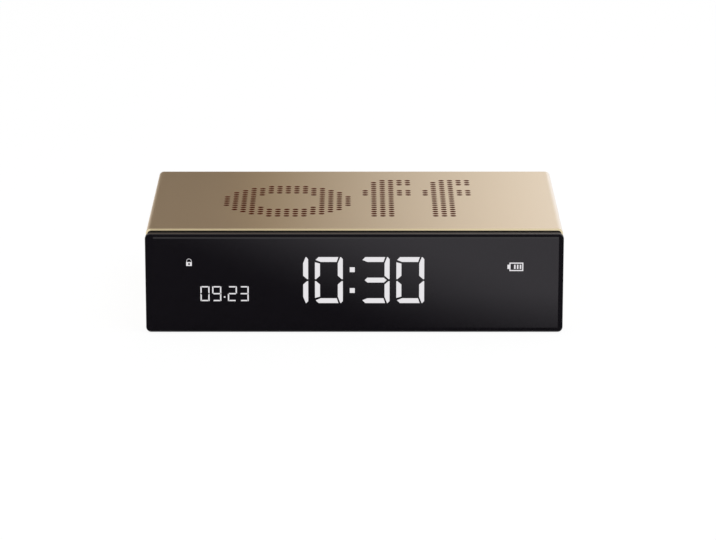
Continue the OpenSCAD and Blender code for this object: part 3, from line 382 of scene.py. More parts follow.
def moulded(name, colour, roughness, grit, depth, sockets={}):
    """Moulded plastic: a spark-eroded mould leaves an even pitted grain of the given grit and depth.
    Its pits are painted darker and its tops paler, a painted shade and painted highlight of the grain."""
    made, tree, shader, place = new_material(name, colour, roughness, sockets)
    pits = add_node(tree, "ShaderNodeTexNoise", {"Vector": place, "Scale": 1 / grit, "Detail": 2.0})["Fac"]
    red, green, blue, alpha = linear(colour)
    dark, light = [
        (share * red, share * green, share * blue, alpha)
        for share in (PIT_SHADE_SHARE, TOP_HIGHLIGHT_SHARE)
    ]
    # The grain's pits take the painted shade and its tops the painted highlight.
    tone = add_node(tree, "ShaderNodeMix", {0: pits, 6: dark, 7: light}, data_type="RGBA")
    bump = add_node(tree, "ShaderNodeBump", {"Height": pits, "Strength": 0.5, "Distance": depth})
    feed(shader, {"Base Color": tone[2], "Normal": bump["Normal"]})
    return made


tray_abs = moulded("moulded_grey_abs", "#2C2D30", roughness=0.55, grit=0.4 * MM, depth=0.02 * MM)
dress(tray_abs, "inner_tray")

# Battery: a lithium pouch in laminated aluminium foil, which shows soft creases, on a foam pad, with
# two insulated leads to a nylon plug in its socket on the main board.
CREASE = 5 * MM
foil, tree, shader, place = new_material("laminated_pouch_foil", "#C6C8CC", 0.32, {"Metallic": 1.0})
creases = add_node(tree, "ShaderNodeTexNoise", {"Vector": place, "Scale": 1 / CREASE, "Detail": 4.0})["Fac"]
bump = add_node(tree, "ShaderNodeBump", {"Height": creases, "Strength": 0.4, "Distance": 0.3 * MM})
feed(shader, {"Normal": bump["Normal"]})
dress(foil, "battery_cell")

# Closed-cell foam: dull, with small cells whose hollows are painted darker, a painted shade.
FOAM_CELL = 0.6 * MM
foam, tree, shader, place = new_material("closed_cell_foam", "#3B3B3D", 0.9)
cells = add_node(tree, "ShaderNodeTexVoronoi", {"Vector": place, "Scale": 1 / FOAM_CELL})["Distance"]
foam_shade_tones = {0: cells, 6: linear("#29292B"), 7: linear("#4A4A4D")}
tone = add_node(tree, "ShaderNodeMix", foam_shade_tones, data_type="RGBA")
bump = add_node(tree, "ShaderNodeBump", {"Height": cells, "Strength": 0.7, "Distance": 0.2 * MM})
feed(shader, {"Base Color": tone[2], "Normal": bump["Normal"]})
dress(foam, "battery_pad", "speaker_gasket", "lens_tape")

# Insulation and plugs: smooth drawn PVC in a colour for each pair of leads, and milky nylon.
for lead_name, colour, node in [
    ("red_pvc_insulation", "#B3262A", "battery_leads"),
    ("black_pvc_insulation", "#2B2B2E", "speaker_leads"),
    ("grey_pvc_insulation", "#77797E", "button_leads"),
]:
    dress(moulded(lead_name, colour, roughness=0.42, grit=0.5 * MM, depth=0.01 * MM), node)
MILKY = {"Subsurface Weight": 0.1}
nylon = moulded("moulded_nylon", "#E8E4D8", roughness=0.5, grit=0.3 * MM, depth=0.01 * MM, sockets=MILKY)
dress(nylon, "battery_plug", "battery_socket", "speaker_plug", "button_plugs")

# Boards: glass epoxy under green solder mask, held by small screws. The copper tracks show through the
# mask as lighter stripes about 0.5 mm wide that run between the parts.
TRACK = 1.0 * MM
mask, tree, shader, place = new_material("green_solder_mask", "#1D5A3A", 0.35, {"Coat Weight": 0.3})
tracks = add_node(tree, "ShaderNodeTexBrick", {
    "Vector": place,
    "Scale": 1.0,
    "Brick Width": 14 * TRACK,
    "Row Height": TRACK,
    "Mortar Size": 0.22 * TRACK,
    "Color1": linear("#1A5235"),
    "Color2": linear("#1E5C3C"),
    "Mortar": linear("#2F7A4F"),
})
bump = add_node(tree, "ShaderNodeBump", {"Height": tracks["Fac"], "Strength": 0.5, "Distance": 0.03 * MM})
feed(shader, {"Base Color": tracks["Color"], "Normal": bump["Normal"]})
dress(mask, "main_board", "button_board", "display_board")

# Parts on the boards: epoxy chips, sockets and switches with a fine sandy grain, ceramic passives,
# and a laminated ribbon whose tinned conductors show as stripes.
CONDUCTOR = 0.5 * MM
epoxy = moulded("moulded_epoxy", "#1B1B1D", roughness=0.6, grit=0.15 * MM, depth=0.01 * MM)
dress(epoxy, "controller_chips", "tact_switches", "ribbon_sockets", "usb_tongue")
ceramic = moulded("fired_ceramic", "#B9A47A", roughness=0.5, grit=0.25 * MM, depth=0.01 * MM)
dress(ceramic, "board_passives")
film, tree, shader, place = new_material("laminated_ribbon_film", "#E9E6DA", 0.3)
film_wave = {"Vector": place, "Scale": WAVE_BAND / CONDUCTOR}
stripes = add_node(tree, "ShaderNodeTexWave", film_wave, bands_direction="X")["Fac"]
film_tones = {0: stripes, 6: linear("#F0EDE2"), 7: linear("#A9A9A6")}
tone = add_node(tree, "ShaderNodeMix", film_tones, data_type="RGBA")
feed(shader, {"Base Color": tone[2]})
dress(film, "display_ribbon")

# Tilt sensor: a drawn can crimped on the board with a loose ball inside, which rolls to its other end
# when the clock is turned over. Can, ball and charging socket are nickel plated steel.
PLATING_CLOUD = 1.2 * MM


def plated(name, colour, roughness, spread):
    """Plated metal: bright, with a slow cloudiness in its polish from the plating bath."""
    made, tree, shader, place = new_material(name, colour, roughness, {"Metallic": 1.0})
    cloud_noise = {"Vector": place, "Scale": 1 / PLATING_CLOUD, "Detail": 4.0}
    clouds = add_node(tree, "ShaderNodeTexNoise", cloud_noise)["Fac"]
    polish = {"Value": clouds, "To Min": roughness - spread, "To Max": roughness + spread}
    dull = add_node(tree, "ShaderNodeMapRange", polish)
    feed(shader, {"Roughness": dull["Result"]})
    return made


nickel = plated("nickel_plated_steel", "#C9CBCE", roughness=0.24, spread=0.08)
dress(nickel, "tilt_can", "tilt_ball")

# Speaker: a pressed steel basket on three posts of the tray with a ferrite magnet below and a paper
# cone above, sealed to the mesh by a foam ring. The zinc is dull, the ferrite gritty, the paper matt.
basket_steel = plated("zinc_passivated_steel", "#8E9095", roughness=0.42, spread=0.1)
dress(basket_steel, "speaker_basket")
ferrite = moulded("sintered_ferrite", "#3F4145", roughness=0.7, grit=0.3 * MM, depth=0.02 * MM)
dress(ferrite, "speaker_magnet")
cone_paper = moulded("pressed_cone_paper", "#2A2A2C", roughness=0.85, grit=0.8 * MM, depth=0.1 * MM)
dress(cone_paper, "speaker_cone")

# Screws: small cross-head machine screws, bright zinc on boards and speaker, and dull black oxide in
# bezel and cover.
zinc = plated("zinc_plated_steel", "#A9ABAF", roughness=0.34, spread=0.08)
dress(zinc, "display_board_screws", "main_board_screws", "speaker_screws", "button_board_screws")
oxide = plated("black_oxide_steel", "#3C3D40", roughness=0.42, spread=0.08)
dress(oxide, "bezel_screws")

# Display module: a white reflector housing with a clear guide in each bar of the figures, lit from
# behind by resin LEDs on the display board, and a copper touch film in front. Bars that are off are
# a dull grey.
reflector = moulded("white_reflector_abs", "#E4E2DC", roughness=0.5, grit=0.3 * MM, depth=0.01 * MM)
dress(reflector, "light_guide_housing")
resin = moulded("phosphor_resin", "#F4E9A8", roughness=0.4, grit=0.1 * MM, depth=0.005 * MM)
dress(resin, "display_leds")
unlit = moulded("unlit_diffuser", "#5D5D60", roughness=0.45, grit=0.2 * MM, depth=0.005 * MM)
dress(unlit, "time_segments_dark", "date_segments_dark")

# Lit diffuser: an even cool white glow with a faint slow cloud in it.
GLOW_CLOUD = 3 * MM
lit, tree, shader, place = new_material("lit_diffuser", "#101011", 0.4, {"Emission Strength": 1.0})
cloud = add_node(tree, "ShaderNodeTexNoise", {"Vector": place, "Scale": 1 / GLOW_CLOUD})["Fac"]
glow_tones = {0: cloud, 6: linear("#E2E0E3"), 7: linear("#E7E5E8")}
glow = add_node(tree, "ShaderNodeMix", glow_tones, data_type="RGBA")
feed(shader, {"Emission Color": glow[2]})
dress(lit, "time_segments_lit", "date_segments_lit", "status_signs")

# Touch film: amber polyimide with a copper grid etched on it.
TOUCH_GRID = 4 * MM
touch, tree, shader, place = new_material("polyimide_touch_film", "#7A5A34", 0.35)
touch_grid = add_node(tree, "ShaderNodeTexBrick", {
    "Vector": place,
    "Scale": 1.0,
    "Brick Width": TOUCH_GRID,
    "Row Height": TOUCH_GRID,
    "Mortar Size": 0.15 * MM,
    "Color1": linear("#7A5A34"),
    "Color2": linear("#805F38"),
    "Mortar": linear("#B87333"),
}, offset=0.0)
feed(shader, {"Base Color": touch_grid["Color"]})
dress(touch, "touch_film")

# Rear cover: a moulded plate set into the sleeve's rear end by four corner screws, with openings for
# the buttons and the charging socket. Its edges are broken by the mould's parting radius, and its face
# has a coarse matt grain.
COVER_EASE = 0.15 * MM
SCREW_EASE = 0.06 * MM
EASE_ANGLE = math.radians(40)
MERGE_REACH = 0.001 * MM
FLAT_ANGLE = math.radians(0.5)


def eased_copy(name, node, ease, material):
    """A copy of a solid with its edges broken: loose triangles are merged and flat ones joined, then
    every edge sharper than the ease angle is rounded over by the given width."""
    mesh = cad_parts[node].data.copy()
    form = bmesh.new()
    form.from_mesh(mesh)
    bmesh.ops.remove_doubles(form, verts=form.verts, dist=MERGE_REACH)
    bmesh.ops.dissolve_limit(form, angle_limit=FLAT_ANGLE, verts=form.verts, edges=form.edges)
    form.to_mesh(mesh)
    form.free()
    mesh.materials.clear()
    mesh.materials.append(material)
    mesh.polygons.foreach_set("use_smooth", np.ones(len(mesh.polygons), bool))
    mesh.polygons.foreach_set("material_index", np.zeros(len(mesh.polygons), np.int32))
    mesh.set_sharp_from_angle(angle=EASE_ANGLE)
    piece = bpy.data.objects.new(name, mesh)
    bpy.context.collection.objects.link(piece)
    bevel = piece.modifiers.new("ease", "BEVEL")
    bevel.width = ease
    bevel.segments = 2
    bevel.limit_method = "ANGLE"
    bevel.angle_limit = EASE_ANGLE
    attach(piece, "casing")
    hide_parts(node)
    return piece


cover_black = moulded("moulded_black_abs", "#1A1A1C", roughness=0.5, grit=0.45 * MM, depth=0.16 * MM)
eased_copy("cover", "rear_cover", COVER_EASE, cover_black)
eased_copy("cover_screws", "rear_cover_screws", SCREW_EASE, oxide)

# Charging socket: a drawn nickel plated shell with a rolled lip, flush with the cover, and a plastic
# tongue inside it.
USB_WALL = 0.3 * MM
USB_LIP = 0.1 * MM
PILL_FLAT = 3 * SUPPORT


def stack(rings):
    """A closed solid of rings from front to back: quads between neighbours and a flat cap on each end."""
    rings = np.array(rings)
    sides = rings.shape[1]
    faces = chain(rings)[:-1].reshape(-1, 4).tolist()
    faces.append(list(range(sides - 1, -1, -1)))
    faces.append(list(range(len(rings) * sides - sides, len(rings) * sides)))
    return rings.reshape(-1, 3), faces


def pill_rings(low, high, turns):
    """Rings of a pill-shaped turned piece in a box: each (inset, depth) turn is a rounded rectangle
    drawn in by the inset, whose ends are half-circles but for a short flat."""
    middle = (low + high) / 2
    half_w, half_h = (high.x - low.x) / 2, (high.z - low.z) / 2
    return [
        at_depth(
            tube_profile(half_w - inset, half_h - inset, half_h - inset - PILL_FLAT),
            y, middle.x, middle.z,
        )
        for inset, y in turns
    ]


usb_low, usb_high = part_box("usb_shell")
usb_turns = [
    (0, usb_low.y),
    (0, usb_high.y - USB_LIP),
    (USB_LIP / 3, usb_high.y - USB_LIP / 3),
    (USB_LIP, usb_high.y),
    (USB_WALL - USB_LIP, usb_high.y),
    (USB_WALL, usb_high.y - USB_LIP),
    (USB_WALL, usb_low.y + USB_WALL),
]
piece = add_piece("charging_socket", "casing", stack(pill_rings(usb_low, usb_high, usb_turns)), [nickel])
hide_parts("usb_shell")

# Buttons: four pill-shaped caps behind the cover, each with a retaining lip, a straight side and a
# softly rounded satin face with its sign printed on in pale ink. Each presses a cream plunger on a
# switch.
BUTTONS = ("alarm", "clock", "plus", "minus")
CAP_LIP = 0.8 * MM
CAP_LIP_T = 1 * MM
CAP_ROUND = 0.35 * MM
CAP_ROUND_STEPS = 6
CAP_CROWN = 0.12 * MM
CAP_CROWN_STEPS = 5
CAP_MIDDLE = 6 * SUPPORT
SIGN_T = 0.06 * MM
SIGN_LINE = 0.32 * MM
SIGN_ARM = 1 * MM
BELL_R = 1.05 * MM
BELL_CROWN = 0.62
BELL_WAIST = 0.35
BELL_STEPS = 6
CLAPPER_R = 0.28 * MM
CLAPPER_DROP = 0.92 * MM
CLAPPER_SIDES = 16
CLOCK_R = 1.3 * MM
CLOCK_SIDES = 40
LONG_HAND = 0.72 * MM
SHORT_HAND = 0.6 * MM


def signed_area(outline):
    """Twice the area inside an outline, below nought where it runs clockwise."""
    ahead = np.roll(outline, -1, axis=0)
    return np.sum(outline[:, 0] * ahead[:, 1] - ahead[:, 0] * outline[:, 1])


def prism(outline, front, back, x=0.0, z=0.0):
    """A flat plate of one outline between two depths. The outline is turned clockwise first."""
    outline = np.array(outline, float)
    if signed_area(outline) > 0:
        outline = outline[::-1]
    return stack([at_depth(outline, front, x, z), at_depth(outline, back, x, z)])


def bar_outline(x0, z0, x1, z1):
    """A rectangle from its lower left to its upper right corner."""
    return [(x0, z0), (x0, z1), (x1, z1), (x1, z0)]


def bell_outline(r):
    """A bell: a half-round crown, sides that flare as a quarter wave, and a straight brim."""
    crown = np.radians(np.linspace(180, 0, 2 * BELL_STEPS + 1))
    fall = np.linspace(0, 1, BELL_STEPS + 1)[1:]
    flare = r * (BELL_CROWN + (1 - BELL_CROWN) * (1 - np.cos(fall * math.pi / 2)))
    top = r * (BELL_CROWN * np.column_stack([np.cos(crown), np.sin(crown)]) + [0, BELL_WAIST])
    right = np.column_stack([flare, r * (BELL_WAIST - fall)])
    return np.vstack([top, right, right[::-1] * [-1, 1]])


def sign_solids(button, face):
    """The sign on a cap: bell, clock face, plus or minus, as thin plates standing on the cap's face."""
    front, back = face - SIGN_T / 2, face + SIGN_T
    half = SIGN_LINE / 2
    if button == "alarm":
        clapper = circle_profile(CLAPPER_R, CLAPPER_SIDES) - [0, CLAPPER_DROP]
        return [prism(bell_outline(BELL_R), front, back), prism(clapper, front, back)]
    if button == "clock":
        hands = [
            (-half, -half), (-half, LONG_HAND), (half, LONG_HAND),
            (half, half), (SHORT_HAND, half), (SHORT_HAND, -half),
        ]
        rim = [circle_profile(r, CLOCK_SIDES) for r in (CLOCK_R, CLOCK_R - SIGN_LINE)]
        return [band(*rim, front, back), prism(hands, front, back)]
    if button == "plus":
        arm = np.array([(-half, half), (-half, SIGN_ARM), (half, SIGN_ARM)])
        arms = [arm, arm[:, ::-1] * [1, -1], -arm, arm[:, ::-1] * [-1, 1]]
        return [prism(np.vstack(arms), front, back)]
    return [prism(bar_outline(-SIGN_ARM, -half, SIGN_ARM, half), front, back)]


cap_black = moulded("satin_black_abs", "#29292C", roughness=0.42, grit=0.3 * MM, depth=0.05 * MM)
sign_ink = moulded("pale_printing_ink", "#B9BABD", roughness=0.55, grit=0.2 * MM, depth=0.005 * MM)
cream = moulded("moulded_cream_pom", "#D7D3C6", roughness=0.4, grit=0.3 * MM, depth=0.005 * MM)
for button in BUTTONS:
    low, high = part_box(button + "_button")
    lip_back = low.y + CAP_LIP_T
    turn = np.radians(np.linspace(0, 90, CAP_ROUND_STEPS + 1))
    round_inset = CAP_LIP + CAP_ROUND * (1 - np.cos(turn))
    round_y = high.y - CAP_CROWN - CAP_ROUND * (1 - np.sin(turn))
    inward = np.linspace(0, 1, CAP_CROWN_STEPS + 1)[1:]
    reach = (high.z - low.z) / 2 - CAP_LIP - CAP_ROUND - CAP_MIDDLE
    crown_inset = CAP_LIP + CAP_ROUND + reach * inward
    crown_y = high.y - CAP_CROWN * (1 - inward) ** 2
    turns = [(0, low.y), (0, lip_back), (CAP_LIP, lip_back)]
    turns += [*zip(round_inset, round_y), *zip(crown_inset, crown_y)]
    cap = stack(pill_rings(low, high, turns))
    piece = add_piece(button + "_cap", button + "_button", cap, [cap_black])
    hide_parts(button + "_button")
    points, faces = joined(sign_solids(button, high.y - CAP_CROWN / 4))
    points = points + [(low.x + high.x) / 2, 0, (low.z + high.z) / 2]
    sign = add_piece(button + "_sign", button + "_button", (points, faces), [sign_ink])
    dress(cream, button + "_plunger")

# Bezel: a moulded black frame screwed to the sleeve's front ports. Its flange stands back from the
# outline and shows as the dark line between sleeve and lens. Its colour is near black and its gloss
# nearly none, darker than the black plastic alone, a painted shadow for the shade in that gap.
DEAD_MATT = {"Specular IOR Level": 0.05}
bezel_shadow_black = moulded(
    "bezel_abs_painted_shadow", "#080706", roughness=0.7, grit=0.35 * MM, depth=0.02 * MM, sockets=DEAD_MATT,
)
dress(bezel_shadow_black, "front_bezel")

# Lens: one smoked acrylic panel taped over the whole front, polished, with a face that rolls off in a
# flat quarter ellipse to the edge. It is near black, so it is drawn as a solid gloss panel. Its sides
# are left as sawn, with little gloss, and its back edge is bevelled. The sawn faces' warm brown-grey is
# a painted reflection of the champagne sleeve.
LENS_ROLL_W = 1.5 * MM
LENS_ROLL_T = 0.45 * MM
LENS_ROLL_STEPS = 12
LENS_BACK_W = 0.6 * MM
LENS_BACK_T = 1.05 * MM
POLISH_HAZE = 2 * MM
SAWN = {"Specular IOR Level": 0.08}
smoked, tree, shader, place = new_material("polished_smoked_acrylic", "#171519", 0.08, {"IOR": 1.49})
haze_noise = {"Vector": place, "Scale": 1 / POLISH_HAZE, "Detail": 5.0}
haze = add_node(tree, "ShaderNodeTexNoise", haze_noise)["Fac"]
dull = add_node(tree, "ShaderNodeMapRange", {"Value": haze, "To Min": 0.05, "To Max": 0.11})
feed(shader, {"Roughness": dull["Result"]})
# Sawn sides: matt acrylic whose warm brown-grey colour is a painted reflection of the sleeve.
sawn = moulded(
    "sawn_acrylic_painted_reflection", "#453D39", roughness=0.5, grit=0.15 * MM, depth=0.01 * MM, sockets=SAWN,
)
lens_low, lens_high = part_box("front_lens")
lens_half_w, lens_half_h = lens_high.x, (lens_high.z - lens_low.z) / 2
front_mid_z = lens_low.z + lens_half_h
turn = np.radians(np.linspace(90, 0, LENS_ROLL_STEPS + 1))
roll_inset = LENS_ROLL_W * (1 - np.cos(turn))
roll_y = lens_low.y + LENS_ROLL_T * (1 - np.sin(turn))
turns = [(LENS_ROLL_W + SUPPORT, lens_low.y), *zip(roll_inset, roll_y)]
turns += [(0, lens_high.y - LENS_BACK_T), (LENS_BACK_W, lens_high.y)]
lens_rings = [
    at_depth(tube_profile(lens_half_w - inset, lens_half_h - inset, EDGE_R - inset), y, z=front_mid_z)
    for inset, y in turns
]
sides = len(lens_rings[0])
picks = np.zeros((len(lens_rings) - 1) * sides + 2, int)
picks[(len(lens_rings) - 3) * sides:(len(lens_rings) - 1) * sides] = 1
piece = add_piece("lens", "casing", stack(lens_rings), [smoked, sawn], picks)
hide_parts("front_lens")

# Lit figures: what shines through the lens, drawn as hair-thin plates on its face so that they show
# crisp from every side. Time and date are seven-bar figures, beside a padlock and a battery sign.
FIGURE_DEPTHS = (lens_low.y - 0.02 * MM, lens_low.y + 0.03 * MM)
MASK_SHARE = 0.076
BAR_GAP = 0.19
LIT_BARS = {"0": "012345", "1": "12", "2": "01346", "3": "01236", "9": "012356"}


def figure_bars(figure, w, h, t, even):
    """Bars of one figure, counted from the top clockwise with the middle last: mitred strips of
    stroke t, parted by a gap, with their corners given in strokes. An even figure's left bars mirror
    its right bars; otherwise its upper and lower bars keep the left corners."""
    half = h / 2
    waist = half + BAR_GAP * t / 2
    right = np.array([
        (w - 0.55 * t, h), (w - 0.36 * t, h), (w, h - 0.4 * t), (w, waist),
        (w - 0.28 * t, waist), (w - t, waist + 0.64 * t), (w - t, h - 1.16 * t),
    ])
    middle = np.array([
        (0.46 * t, half), (t, half + 0.5 * t), (w - t, half + 0.5 * t),
        (w - 0.46 * t, half), (w - t, half - 0.5 * t), (t, half - 0.5 * t),
    ])
    if even:
        left = right * [-1, 1] + [w, 0]
        upper_left = [(1.06 * t, h - t), (0.72 * t, h)]
    else:
        left = np.array([
            (0, h - 0.88 * t), (t, h - 1.16 * t), (t, waist + 0.64 * t), (0.28 * t, waist), (0, waist),
        ])
        upper_left = [(1.04 * t, h - t), (0.05 * t, h - 0.6 * t), (0.65 * t, h)]
    upper = np.array([*upper_left, (w - 0.72 * t, h), (w - 1.06 * t, h - t)])
    lower, lower_right, lower_left = [bar * [1, -1] + [0, h] for bar in (upper, right, left)]
    bars = [upper, right, lower_right, lower, lower_left, left, middle]
    return [bars[int(bar)] for bar in LIT_BARS[figure]]


def drawn_in(outline, inset):
    """An outline with every edge moved inward: each corner goes to where its two moved edges meet."""
    outline = np.array(outline, float)
    run = np.roll(outline, -1, axis=0) - outline
    across = np.column_stack([-run[:, 1], run[:, 0]]) / np.linalg.norm(run, axis=1)[:, None]
    inward = np.sign(signed_area(outline)) * across
    before = np.roll(inward, 1, axis=0)
    return outline + inset * (inward + before) / (1 + np.sum(inward * before, axis=1))[:, None]


def figure_row(figures, lefts, foot, w, h, t, even=False):
    """Lit plates of a row of figures, one cell per left edge. A printed mask covers each bar's edge."""
    return [
        prism(drawn_in(bar, MASK_SHARE * t), *FIGURE_DEPTHS, x, foot)
        for figure, x in zip(figures, lefts)
        for bar in figure_bars(figure, w, h, t, even)
    ]


# Time: four figures about a colon of two square dots.
TIME_W = 9 * MM
TIME_H = 15.2 * MM
TIME_STROKE = 1.85 * MM
TIME_X = -0.655 * MM
TIME_RISE = 1.1 * MM
TIME_STEP = 10.85 * MM
COLON_ROOM = 5.65 * MM
COLON_STEP = 6.75 * MM
time_left = TIME_X - TIME_STEP - TIME_W - COLON_ROOM / 2
pair = TIME_STEP + TIME_W + COLON_ROOM
lefts = time_left + np.array([0, TIME_STEP, pair, pair + TIME_STEP])
time_mid_z = front_mid_z + TIME_RISE
time_plates = figure_row("1030", lefts, time_mid_z - TIME_H / 2, TIME_W, TIME_H, TIME_STROKE)
dot = np.array(bar_outline(-0.5, -0.5, 0.5, 0.5))
colon_dot = drawn_in(dot * TIME_STROKE, MASK_SHARE * TIME_STROKE)
for side in (-1, 1):
    time_plates.append(prism(colon_dot, *FIGURE_DEPTHS, TIME_X, time_mid_z + side * COLON_STEP / 2))
add_piece("time_figures", "casing", joined(time_plates), [lit])

# Date: two pairs of small figures about a dot.
DATE_W = 2.92 * MM
DATE_H = 4.93 * MM
DATE_STROKE = 0.47 * MM
DATE_STEP = 3.69 * MM
DATE_INSET = 17.19 * MM
DATE_DROP = 5.77 * MM
DATE_DOT_ROOM = 1.21 * MM
DATE_DOT_RISE = 1.38 * MM
date_left = lens_low.x + DATE_INSET
date_foot = front_mid_z - DATE_DROP
lefts = date_left + DATE_STEP * np.arange(4) + DATE_DOT_ROOM * np.array([0, 0, 1, 1])
date_plates = figure_row("0923", lefts, date_foot, DATE_W, DATE_H, DATE_STROKE, even=True)
dot_x = date_left + DATE_STEP + (DATE_W + DATE_STEP + DATE_DOT_ROOM) / 2
date_plates.append(prism(dot * DATE_STROKE, *FIGURE_DEPTHS, dot_x, date_foot + DATE_DOT_RISE))
add_piece("date_figures", "casing", joined(date_plates), [lit])

# Padlock: a plate with a round keyhole under a bow. The plate's rim takes as many points as the
# keyhole, in the same directions from the middle, with its corners among them.
LOCK_W = 1.77 * MM
LOCK_H = 1.25 * MM
LOCK_INSET = 13.75 * MM
LOCK_RISE = 5.69 * MM
LOCK_STEPS = 8
KEYHOLE = 0.64 * MM
SHACKLE_R = 0.45 * LOCK_W
SHACKLE_LINE = 0.135 * MM
SHACKLE_LEG = 0.3 * MM
SHACKLE_STEPS = 24
TINY = 1e-9
corner = math.atan2(LOCK_H, LOCK_W)
corners = [math.pi - corner, corner, -corner, corner - math.pi, -math.pi - corner]
runs = [np.linspace(a, b, LOCK_STEPS, endpoint=False) for a, b in zip(corners, corners[1:])]
turn = np.concatenate(runs)
way = np.column_stack([np.cos(turn), np.sin(turn)])
lock_half = np.array([LOCK_W, LOCK_H]) / 2
lock_body = way * np.min(lock_half / np.maximum(np.abs(way), TINY), axis=1)[:, None]
turn = np.radians(np.linspace(0, 180, SHACKLE_STEPS + 1))
bow = np.column_stack([np.cos(turn), np.sin(turn)])
bow_inner = SHACKLE_R - SHACKLE_LINE
shackle = np.vstack([
    [(SHACKLE_R, -SHACKLE_LEG)], SHACKLE_R * bow, [(-SHACKLE_R, -SHACKLE_LEG)],
    [(-bow_inner, -SHACKLE_LEG)], bow_inner * bow[::-1], [(bow_inner, -SHACKLE_LEG)],
]) + [0, LOCK_H + SHACKLE_LEG]
lock_x, lock_foot = lens_low.x + LOCK_INSET, front_mid_z + LOCK_RISE
lock_plates = [
    band(lock_body, way * KEYHOLE / 2, *FIGURE_DEPTHS, lock_x, lock_foot + LOCK_H / 2),
    prism(shackle, *FIGURE_DEPTHS, lock_x, lock_foot),
]
add_piece("lock_sign", "casing", joined(lock_plates), [lit])

# Battery sign: a frame with a terminal on the middle half of its left side, and three bars of charge
# from the right.
GAUGE_W = 4.35 * MM
GAUGE_H = 2.73 * MM
GAUGE_INSET = 12.61 * MM
GAUGE_RISE = 4.04 * MM
GAUGE_LINE = 0.34 * MM
GAUGE_BARS = 3
GAUGE_BAR = 0.46 * MM
GAUGE_GAP = 0.43 * MM
GAUGE_END = 0.31 * MM
GAUGE_TERMINAL = GAUGE_W / 7
gauge_rim = [
    np.array(bar_outline(edge, edge, GAUGE_W - edge, GAUGE_H - edge)) for edge in (0, GAUGE_LINE)
]
gauge_outlines = [bar_outline(-GAUGE_TERMINAL, 0.25 * GAUGE_H, 0, 0.75 * GAUGE_H)]
last_bar_x = GAUGE_W - GAUGE_LINE - GAUGE_END - GAUGE_BAR
for bar in range(GAUGE_BARS):
    bar_x = last_bar_x - bar * (GAUGE_BAR + GAUGE_GAP)
    gauge_outlines.append(bar_outline(bar_x, 2 * GAUGE_LINE, bar_x + GAUGE_BAR, GAUGE_H - 2 * GAUGE_LINE))
gauge_x, gauge_foot = lens_high.x - GAUGE_INSET - GAUGE_W, front_mid_z + GAUGE_RISE
gauge_plates = [prism(outline, *FIGURE_DEPTHS, gauge_x, gauge_foot) for outline in gauge_outlines]
gauge_plates.append(band(*gauge_rim, *FIGURE_DEPTHS, gauge_x, gauge_foot))
add_piece("battery_sign", "casing", joined(gauge_plates), [lit])

# Stage: a white floor under an even white surround, as in a product studio. Camera, gloss and glass see
# plain white, and a share of the floor's own shading keeps the soft shadow under the clock.
FLOOR_HALF = 3.0
FLOOR_GLOW = 1.03
SHADOW_SHARE = 0.1
WORLD_LIGHT = 0.62
WHITE = (1, 1, 1, 1)


def seen_white(tree):
    """One where a ray comes from the camera, a reflection or a transmission, and nought elsewhere."""
    path = add_node(tree, "ShaderNodeLightPath", {})
    gloss = {0: path["Is Camera Ray"], 1: path["Is Glossy Ray"]}
    gloss = add_node(tree, "ShaderNodeMath", gloss, operation="MAXIMUM")
    glass = {0: gloss["Value"], 1: path["Is Transmission Ray"]}
    return add_node(tree, "ShaderNodeMath", glass, operation="MAXIMUM")["Value"]


def add_card(name, left, right, run, material):
    """A stage sheet from left to right that is bent along a run of (depth, height) lines."""
    mesh = bpy.data.meshes.new(name)
    corners = [(x, y, z) for y, z in run for x in (left, right)]
    mesh.from_pydata(corners, [], [(2 * i, 2 * i + 1, 2 * i + 3, 2 * i + 2) for i in range(len(run) - 1)])
    mesh.materials.append(material)
    card = bpy.data.objects.new(name, mesh)
    bpy.context.collection.objects.link(card)
    return card


world = bpy.data.worlds.new("white_surround")
bpy.context.scene.world = world
world.use_nodes = True
tree = world.node_tree
tree.nodes.clear()
soft = add_node(tree, "ShaderNodeBackground", {"Color": WHITE, "Strength": WORLD_LIGHT})
white = add_node(tree, "ShaderNodeBackground", {"Color": WHITE, "Strength": 1.0})
either = add_node(tree, "ShaderNodeMixShader", {0: seen_white(tree), 1: soft[0], 2: white[0]})
add_node(tree, "ShaderNodeOutputWorld", {"Surface": either[0]})

floor_white, tree, shader, _ = new_material("white_floor", "#F2F2F2", 0.9)
glow = add_node(tree, "ShaderNodeEmission", {"Color": WHITE, "Strength": FLOOR_GLOW})
share = add_node(tree, "ShaderNodeMath", {0: seen_white(tree), 1: 1 - SHADOW_SHARE}, operation="MULTIPLY")
both = add_node(tree, "ShaderNodeMixShader", {0: share[0], 1: shader.outputs[0], 2: glow[0]})
feed(tree.nodes["Material Output"], {"Surface": both[0]})
add_card("floor", -FLOOR_HALF, FLOOR_HALF, [(-FLOOR_HALF, 0), (FLOOR_HALF, 0)], floor_white)

# Reflection cards, which only gloss sees. One lies before the lens, dark with a soft bright corner to
# the right; one stands behind and bends overhead for the metal, with a low one at its right for the
# round edge; a waved one in front is for views from behind. Black flags frame the lens's rolled edge.
CARD_RISE = 0.3 * MM
FLAG_RISE = 0.4 * MM
CARD_GAP = 0.2 * MM
LENS_CARD_EDGE = (0.831, -0.556, 0.0)
LENS_CARD_FADE = (27.5 * MM, 109 * MM)
LENS_CARD_FOOT = (-50 * MM, 46 * MM)
LENS_CARD_LIGHT = 0.83
LENS_CARD_SIDE = (63.8 * MM, 76 * MM)
LENS_CARD_SPREAD = 0.063
LENS_CARD_HALF = 96 * MM
LENS_CARD_FRONT = (-185 * MM, -245 * MM)
LENS_CARD_COLOUR = "#FDF8FF"
METAL_CARD_SPAN = (-0.16, 0.4)
METAL_CARD_RUN = [(0.26, 0), (0.26, 0.5), (-0.27, 0.5)]
METAL_CARD_RISE = (0.3, 0.5)
METAL_CARD_START = (-49 * MM, -46 * MM, -41 * MM)
METAL_CARD_END = (75 * MM, 76 * MM, 79 * MM)
METAL_CARD_LOW = "#857C71"
